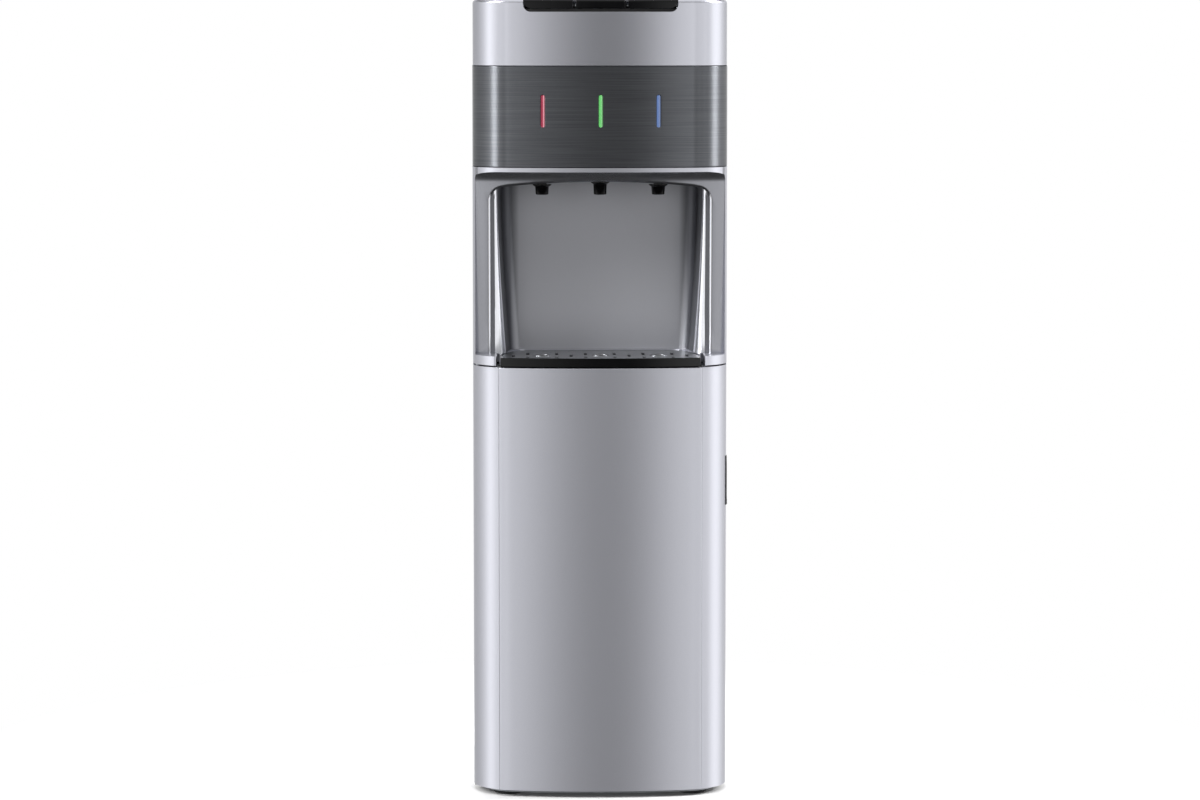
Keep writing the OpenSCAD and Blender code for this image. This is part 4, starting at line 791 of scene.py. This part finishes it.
for i, name in ((-1, "hot"), (0, "ambient"), (1, "cold")):
    x0, x1 = i * key_step - key_w / 2, i * key_step + key_w / 2
    under = cap_top - 2
    # The lower edge clears the sill of the cut-out when the key is pressed.
    low = keys_z + key_room + (shaft_y - front_y) * math.sin(key_turn)
    skin = carve(
        cap_solid(f"key_{name}_skin", cap_inset, low - 2, 0.0, 4.0),
        keep=[
            block("span", x0, x1, front_y - 2, front_y + keys_back - 0.8, low, cap_top + 5),
            key_window("edge", keys_half - key_room, low, keys_back),
        ],
        cut=[cap_solid("key_in", 2.8, low - 3, 2.0, 3.0)],
    )
    if name == "hot":
        lock_way = block("lock_way", -64.6, -56.6, front_y + 17.7, front_y + 26.3, 1025, 1040)
        carve(skin, cut=[lock_way])
    ease(skin, 0.8, 3)
    ribs = (x0 + 3, x1 - 8)
    hubs = [shaft_ring(x, x + 5) for x in ribs]
    webs = [block("web", x, x + 5, shaft_y - 3, shaft_y + 3, shaft_z + 4.5, under) for x in ribs]
    sides = (i * key_step - 3, i * key_step + 3, plunger_y - 3, plunger_y + 3)
    plunger = block("plunger", *sides, plunger_z, under)
    parts = [skin, *hubs, *webs, plunger]
    joined = {"active_object": skin, "selected_editable_objects": parts, "object": skin}
    with bpy.context.temp_override(**joined):
        bpy.ops.object.join()
    fit(skin, polished_black_abs, f"{name}_key", f"key_{name}")
# Dark red ABS: the child-lock slide.
dark_red_abs = surface("dark_red_abs", "#8f1022", "#a0172b", 2, Roughness=0.3)
# Textured black ABS: the carrier of the switches under the keys.
textured_black_abs = surface(
    "textured_black_abs", "#0f0f10", "#161617", 1.2, bump=0.25, Roughness=0.55
)
dress(dark_red_abs, "child_lock")
dress(textured_black_abs, "switch_carrier")
dress(phenolic_moulding, "key_switches")
dress(zinc_plated_steel, "key_shaft")


# Door: a bowed silver centre panel between two set-back trims, on a grey-white liner that
# joins them. It hangs on pins at its left edge and has a black finger pull on its right.
door_z0, door_z1, seam, door_back = 8.0, 559.6, 131.0, -104.0
fold_y = front_y + bow(seam) + 7
trim_back = 4.0
pin_x, pin_y, pin_way_r = -157, -116, 3.05


def face_part(inset, x0, x1, rear, back=0.0):
    """The bowed front between two places, closed by a straight rear edge."""
    between = [p for p in outline(inset, 0.0, back)[1:-1] if x0 < p[0] < x1]
    ends = []
    for x in (x0, x1):
        if abs(x) < corner_x:
            ends.append((x, front_y + back + inset + bow(x)))
        else:
            chord = math.sqrt(max(0.0, (corner_r - inset) ** 2 - (abs(x) - corner_x) ** 2))
            ends.append((x, front_y + corner_dep + back - chord))
    return [(x0, rear), ends[0]] + between + [ends[1], (x1, rear)]


door_in = face_part(wall, -seam + 2, seam - 2, fold_y + 5)
door = carve(
    prism("door_panel_skin", face_part(0.0, -seam, seam, fold_y), door_z0, door_z1),
    cut=[prism("panel_in", door_in, door_z0 + wall, door_z1 - wall)],
)
fit(ease(door, 0.8, 3), silver_metallic_paint, "door", "door_panel")

for side, name in ((-1, "left"), (1, "right")):
    shape = face_part(0.0, -half_w + 0.01, -seam - 0.4, door_back, trim_back)
    inner = face_part(wall, -half_w + wall, -seam + 3, door_back + 5, trim_back)
    if side > 0:
        shape, inner = [(-x, y) for x, y in shape], [(-x, y) for x, y in inner]
    trim = prism(f"door_trim_{name}_skin", shape, door_z0, door_z1)
    hollow = prism("trim_in", inner, door_z0 + wall, door_z1 - wall)
    if side < 0:
        # The hinge edge is rounded about the pins, so that it clears the side panel.
        bosses = [rod("boss", pin_x, pin_y, z, z + 12, 6.5) for z in (door_z0 + 1, door_z1 - 13)]
        ways = ((7, 20), (547.6, 561))
        pins = [rod("pin_way", pin_x, pin_y, z0, z1, pin_way_r) for z0, z1 in ways]
        swing = carve(
            block("swing", -half_w - 1, pin_x, pin_y, side_y, door_z0 - 1, door_z1 + 1),
            cut=[rod("round", pin_x, pin_y, door_z0 - 2, door_z1 + 2, 12.8, 120)],
        )
        carve(trim, cut=[hollow])
        carve(trim, join=bosses, cut=[swing, *pins])
    else:
        cup_way = block("cup_way", half_w - 8, half_w + 1, -121.5, -106.5, 380.0, 432.0)
        carve(trim, cut=[hollow, cup_way])
    fit(ease(trim, 0.9, 3), silver_metallic_paint, "door", f"door_trim_{name}")
# Bonded magnet strip: dark grey and dull.
bonded_magnet = surface("bonded_magnet", "#2c2c2e", "#353537", 1.5, bump=0.1, Roughness=0.7)
dress(bonded_magnet, "door_magnet")
dress(moulded_liner, "door_liner")
dress(textured_black_abs, "door_pull")
dress(zinc_plated_steel, "hinge_brackets", "strike_plate")


# Drip tray: polished black ABS, open at the top, with a rebate that holds the grille. It slides
# out forwards between the ledges.
tray_z0, tray_z1, tray_wall, rebate_wall = 561.5, 572.7, 3.0, 1.2
tray_in = moved(tray_outline(-tray_wall), 1)
rebate = moved(tray_outline(-rebate_wall), 1)
tray = carve(
    prism("drip_tray_skin", tray_outline(0.0), tray_z0, tray_z1),
    cut=[
        prism("tray_in", tray_in, tray_z0 + 1.8, tray_z1 + 1),
        prism("rebate", rebate, tray_z1 - 1.6, tray_z1 + 1),
    ],
)
fit(ease(tray, 0.5, 2), polished_black_abs, "tray", "drip_tray")


# Drip grille: stainless sheet, punched with rows of slots and three round drains, brushed from
# side to side. It lies in the rebate of the tray and lifts out.

# Brushed stainless sheet: level lines about 0.2 mm apart, drawn 0.8 mm apart so that they show.
brushed_stainless = surface(
    "brushed_stainless",
    "#8e9094",
    "#a9abae",
    0.8,
    stretch=(0.02, 1, 1),
    bump=0.1,
    Metallic=1.0,
    Roughness=0.33,
)
dress(brushed_stainless, "drip_grille")


def drain_rims():
    """A tree that sets one pressed rim round each drain of the grille. Its sizes are in metres."""
    tree = bpy.data.node_groups.new("drain_rims", "GeometryNodeTree")
    for label, kind, value in (
        ("Drain spacing", "NodeSocketFloat", 0.075),
        ("Rim radius", "NodeSocketFloat", 0.0106),
        ("Wire radius", "NodeSocketFloat", 0.0008),
        ("Drain count", "NodeSocketInt", 3),
    ):
        socket = tree.interface.new_socket(label, in_out="INPUT", socket_type=kind)
        socket.default_value = value
    tree.interface.new_socket("Finish", in_out="INPUT", socket_type="NodeSocketMaterial")
    tree.interface.new_socket("Geometry", in_out="OUTPUT", socket_type="NodeSocketGeometry")
    given = add(tree, "NodeGroupInput").outputs
    count, spacing = given["Drain count"], given["Drain spacing"]
    gaps = add(tree, "ShaderNodeMath", {0: count, 1: 1.0}, operation="SUBTRACT").outputs[0]
    span = add(tree, "ShaderNodeMath", {0: gaps, 1: spacing}, operation="MULTIPLY").outputs[0]
    reach = add(tree, "ShaderNodeMath", {0: span, 1: -0.5}, operation="MULTIPLY").outputs[0]
    first = add(tree, "ShaderNodeCombineXYZ", {"X": reach, "Y": -0.1375, "Z": 0.5728}).outputs[0]
    stride = add(tree, "ShaderNodeCombineXYZ", {"X": spacing}).outputs[0]
    line = {"Count": count, "Start Location": first, "Offset": stride}
    row = add(tree, "GeometryNodeMeshLine", line, mode="OFFSET").outputs["Mesh"]
    ring = {"Resolution": 40, "Radius": given["Rim radius"]}
    path = add(tree, "GeometryNodeCurvePrimitiveCircle", ring).outputs["Curve"]
    wire = {"Resolution": 10, "Radius": given["Wire radius"]}
    section = add(tree, "GeometryNodeCurvePrimitiveCircle", wire).outputs["Curve"]
    swept = {"Curve": path, "Profile Curve": section}
    rim = add(tree, "GeometryNodeCurveToMesh", swept).outputs["Mesh"]
    spread = {"Points": row, "Instance": rim}
    set_out = add(tree, "GeometryNodeInstanceOnPoints", spread).outputs["Instances"]
    real = add(tree, "GeometryNodeRealizeInstances", {"Geometry": set_out}).outputs[0]
    finish = {"Geometry": real, "Material": given["Finish"]}
    dressed = add(tree, "GeometryNodeSetMaterial", finish).outputs[0]
    add(tree, "NodeGroupOutput", {"Geometry": dressed})
    return tree


def grown(name, tree, **values):
    """Runs a Geometry Nodes tree on an empty mesh and keeps what it makes as a plain mesh."""
    made = bpy.data.objects.new(name, bpy.data.meshes.new(name))
    bpy.context.scene.collection.objects.link(made)
    step = made.modifiers.new(name, "NODES")
    step.node_group = tree
    for socket in tree.interface.items_tree:
        if socket.in_out == "INPUT" and socket.name in values:
            step[socket.identifier] = values[socket.name]
    flatten(made)
    made.data.shade_smooth()
    return made


rims = grown("drain_rims", drain_rims(), Finish=brushed_stainless)
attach(rims, "grille")


# Studio: a white paper floor that keeps the soft shadow round the foot of the cooler, with a
# painted shadow under its front, a white backdrop, and tall soft boxes on both sides that draw the
# bright bands on the rounded corners.
floor_finish = bpy.data.materials.new("white_paper_floor")
floor_finish.use_nodes = True
tree = floor_finish.node_tree
tree.nodes.clear()
# Far from the cooler the paper is plain white.
place = add(tree, "ShaderNodeTexCoord").outputs["Object"]
away = add(tree, "ShaderNodeVectorMath", {0: place}, operation="LENGTH").outputs["Value"]
bounds = {"Value": away, "From Min": 0.35, "From Max": 0.9}
far = add(tree, "ShaderNodeMapRange", bounds).outputs["Result"]
# Under the front of the cooler the floor's own glow is turned down: a painted shadow. The distance
# is taken from a rectangle on the floor, by its centre and its half sizes in metres.
foot_centre, foot_half = (0.0, -0.15, 0.0), (0.148, 0.0325, 0.0)


def vector(kind, value, other=(0.0, 0.0, 0.0)):
    """One step of vector maths on the floor."""
    return add(tree, "ShaderNodeVectorMath", {0: value, 1: other}, operation=kind)


beside = vector("SUBTRACT", place, foot_centre).outputs["Vector"]
beside = vector("ABSOLUTE", beside).outputs["Vector"]
beside = vector("SUBTRACT", beside, foot_half).outputs["Vector"]
beside = vector("MAXIMUM", beside).outputs["Vector"]
beside = vector("LENGTH", beside).outputs["Value"]
# Painted shadow: the glow is weakest in the rectangle and grows to full over 55 mm.
bounds = {"Value": beside, "From Max": 0.055, "To Min": 0.02, "To Max": 0.42}
glow_past_painted_shadow = add(tree, "ShaderNodeMapRange", bounds).outputs["Result"]
paper = add(tree, "ShaderNodeBsdfDiffuse", {"Color": (0.55, 0.55, 0.55, 1)}).outputs[0]
lit = {"Color": (1, 1, 1, 1), "Strength": glow_past_painted_shadow}
glow = add(tree, "ShaderNodeEmission", lit).outputs[0]
close = add(tree, "ShaderNodeAddShader", {0: paper, 1: glow}).outputs[0]
white = add(tree, "ShaderNodeEmission", {"Color": (1, 1, 1, 1), "Strength": 1.0}).outputs[0]
shown = add(tree, "ShaderNodeMixShader", {"Fac": far, 1: close, 2: white}).outputs[0]
# What the cooler itself gets back from the floor is dimmer.
dim = add(tree, "ShaderNodeBsdfDiffuse", {"Color": (0.3, 0.3, 0.3, 1)}).outputs[0]
from_camera = add(tree, "ShaderNodeLightPath").outputs["Is Camera Ray"]
seen = add(tree, "ShaderNodeMixShader", {"Fac": from_camera, 1: dim, 2: shown}).outputs[0]
add(tree, "ShaderNodeOutputMaterial", {"Surface": seen})
ends = [(-9000, -9000, 0), (9000, -9000, 0), (9000, 9000, 0), (-9000, 9000, 0)]
floor = piece("studio_floor", ends, [(0, 1, 2, 3)])
floor.data.materials.append(floor_finish)
floor.visible_glossy = False

# The room is lit by tall soft boxes all round the cooler, and is dark behind the camera. Each
# pair is a direction, in degrees from the camera, and the brightness of the box there.
left_boxes = [(0, 0.15), (6, 0.3), (14, 0.6), (20, 0.9), (25, 1.35), (30, 1.0)]
left_boxes += [(34, 0.85), (42, 1.0), (50, 0.85), (60, 1.1), (68, 1.35), (75, 1.65)]
left_boxes += [(82, 1.5), (90, 1.15), (98, 0.9), (120, 0.6), (150, 0.5), (180, 1.0)]
right_boxes = [(0, 0.15), (8, 0.15), (12, 0.3), (17, 0.75), (25, 1.4), (30, 0.95)]
right_boxes += [(34, 0.8), (42, 1.05), (48, 0.9), (58, 1.1), (68, 0.9), (75, 1.05)]
right_boxes += [(83, 1.5), (98, 1.6), (108, 1.45), (121, 1.0), (145, 0.6), (180, 1.0)]
# A stop's colour holds no more than 1, so the world is this much stronger than its colours.
full = 5.0


def box_ramp(turn, boxes):
    """The brightness of the soft boxes on one side, by direction."""
    ramp = add(tree, "ShaderNodeValToRGB", {"Fac": turn})
    stops = ramp.color_ramp.elements
    while len(stops) < len(boxes):
        stops.new(0.5)
    for stop, (angle, _) in zip(stops, boxes):
        stop.position = angle / 180
    for stop, (_, bright) in zip(stops, boxes):
        stop.color = (bright / full, bright / full, bright / full, 1)
    return ramp.outputs["Color"]


def strip(turn, centre, half, strength):
    """One tall strip that shines above the boxes, with soft edges."""
    off = add(tree, "ShaderNodeMath", {0: turn, 1: centre / 180}, operation="SUBTRACT").outputs[0]
    off = add(tree, "ShaderNodeMath", {0: off}, operation="ABSOLUTE").outputs[0]
    lit = {"Value": off, "From Min": (half + 5) / 180, "From Max": (half - 5) / 180}
    return add(tree, "ShaderNodeMapRange", {**lit, "To Max": strength / full}).outputs["Result"]


def by_height(first, last, start, end):
    """Passes from one colour to another between two heights of the direction."""
    bounds = {"Value": way["Z"], "From Min": start, "From Max": end}
    fac = add(tree, "ShaderNodeMapRange", bounds).outputs["Result"]
    return add(tree, "ShaderNodeMixRGB", {"Fac": fac, 1: first, 2: last}).outputs[0]


world = bpy.data.worlds.new("studio_world")
bpy.context.scene.world = world
world.use_nodes = True
tree = world.node_tree
tree.nodes.clear()
direction = add(tree, "ShaderNodeTexCoord").outputs["Generated"]
way = add(tree, "ShaderNodeSeparateXYZ", {0: direction}).outputs
# The direction as a share of the half turn from the camera to the rear.
aside = add(tree, "ShaderNodeMath", {0: way["X"]}, operation="ABSOLUTE").outputs[0]
ahead = add(tree, "ShaderNodeMath", {0: way["Y"], 1: -1.0}, operation="MULTIPLY").outputs[0]
turn = add(tree, "ShaderNodeMath", {0: aside, 1: ahead}, operation="ARCTAN2").outputs[0]
turn = add(tree, "ShaderNodeMath", {0: turn, 1: 1 / math.pi}, operation="MULTIPLY").outputs[0]
right = add(tree, "ShaderNodeMath", {0: way["X"], 1: 0.0}, operation="GREATER_THAN").outputs[0]
sides = {"Fac": right, 1: box_ramp(turn, left_boxes), 2: box_ramp(turn, right_boxes)}
boxes = add(tree, "ShaderNodeMixRGB", sides).outputs[0]
strips = {"Factor": right, 2: strip(turn, 66, 8, 38.0), 3: strip(turn, 100, 10, 38.0)}
tall = add(tree, "ShaderNodeMix", strips).outputs[0]
tall = add(tree, "ShaderNodeMath", {0: tall, 1: 0.04}, operation="ADD").outputs[0]
# The boxes end below the strips, a plain ceiling is above both, and it is dark under the floor.
all_round = by_height(boxes, tall, 0.28, 0.42)
all_round = by_height(all_round, (0.2, 0.2, 0.2, 1), 0.55, 0.8)
all_round = by_height(all_round, (0.008, 0.008, 0.008, 1), -0.3, -0.5)
sky = add(tree, "ShaderNodeBackground", {"Color": (1, 1, 1, 1), "Strength": 1.0}).outputs[0]
room = add(tree, "ShaderNodeBackground", {"Color": all_round, "Strength": full}).outputs[0]
from_camera = add(tree, "ShaderNodeLightPath").outputs["Is Camera Ray"]
pick = add(tree, "ShaderNodeMixShader", {"Fac": from_camera, 1: room, 2: sky}).outputs[0]
add(tree, "ShaderNodeOutputWorld", {"Surface": pick})

lamp = bpy.data.lights.new("head_box", "AREA")
lamp.shape, lamp.size, lamp.size_y, lamp.energy = "RECTANGLE", 1.6, 1.0, 60
head_box = bpy.data.objects.new("head_box", lamp)
head_box.location = (0.0, -1.8, 2.9)
head_box.visible_glossy = False
towards = head_box.location - Vector((0.0, 0.0, 0.75))
head_box.rotation_euler = towards.to_track_quat("Z", "Y").to_euler()
bpy.context.scene.collection.objects.link(head_box)

# The camera looks down by one angle and to the side by the other, both in degrees.
look_down, look_aside = 5.196, -1.039
camera = bpy.data.cameras.new("camera")
camera.sensor_width, camera.lens = 36.0, 113.04
camera.shift_y = -0.0275
eye = bpy.data.objects.new("camera", camera)
eye.location = (-0.0884, -5.0, 1.0)
eye.rotation_euler = (math.radians(90 - look_down), 0.0, math.radians(look_aside))
bpy.context.scene.collection.objects.link(eye)
bpy.context.scene.camera = eye
bpy.context.scene.view_settings.view_transform = "Standard"
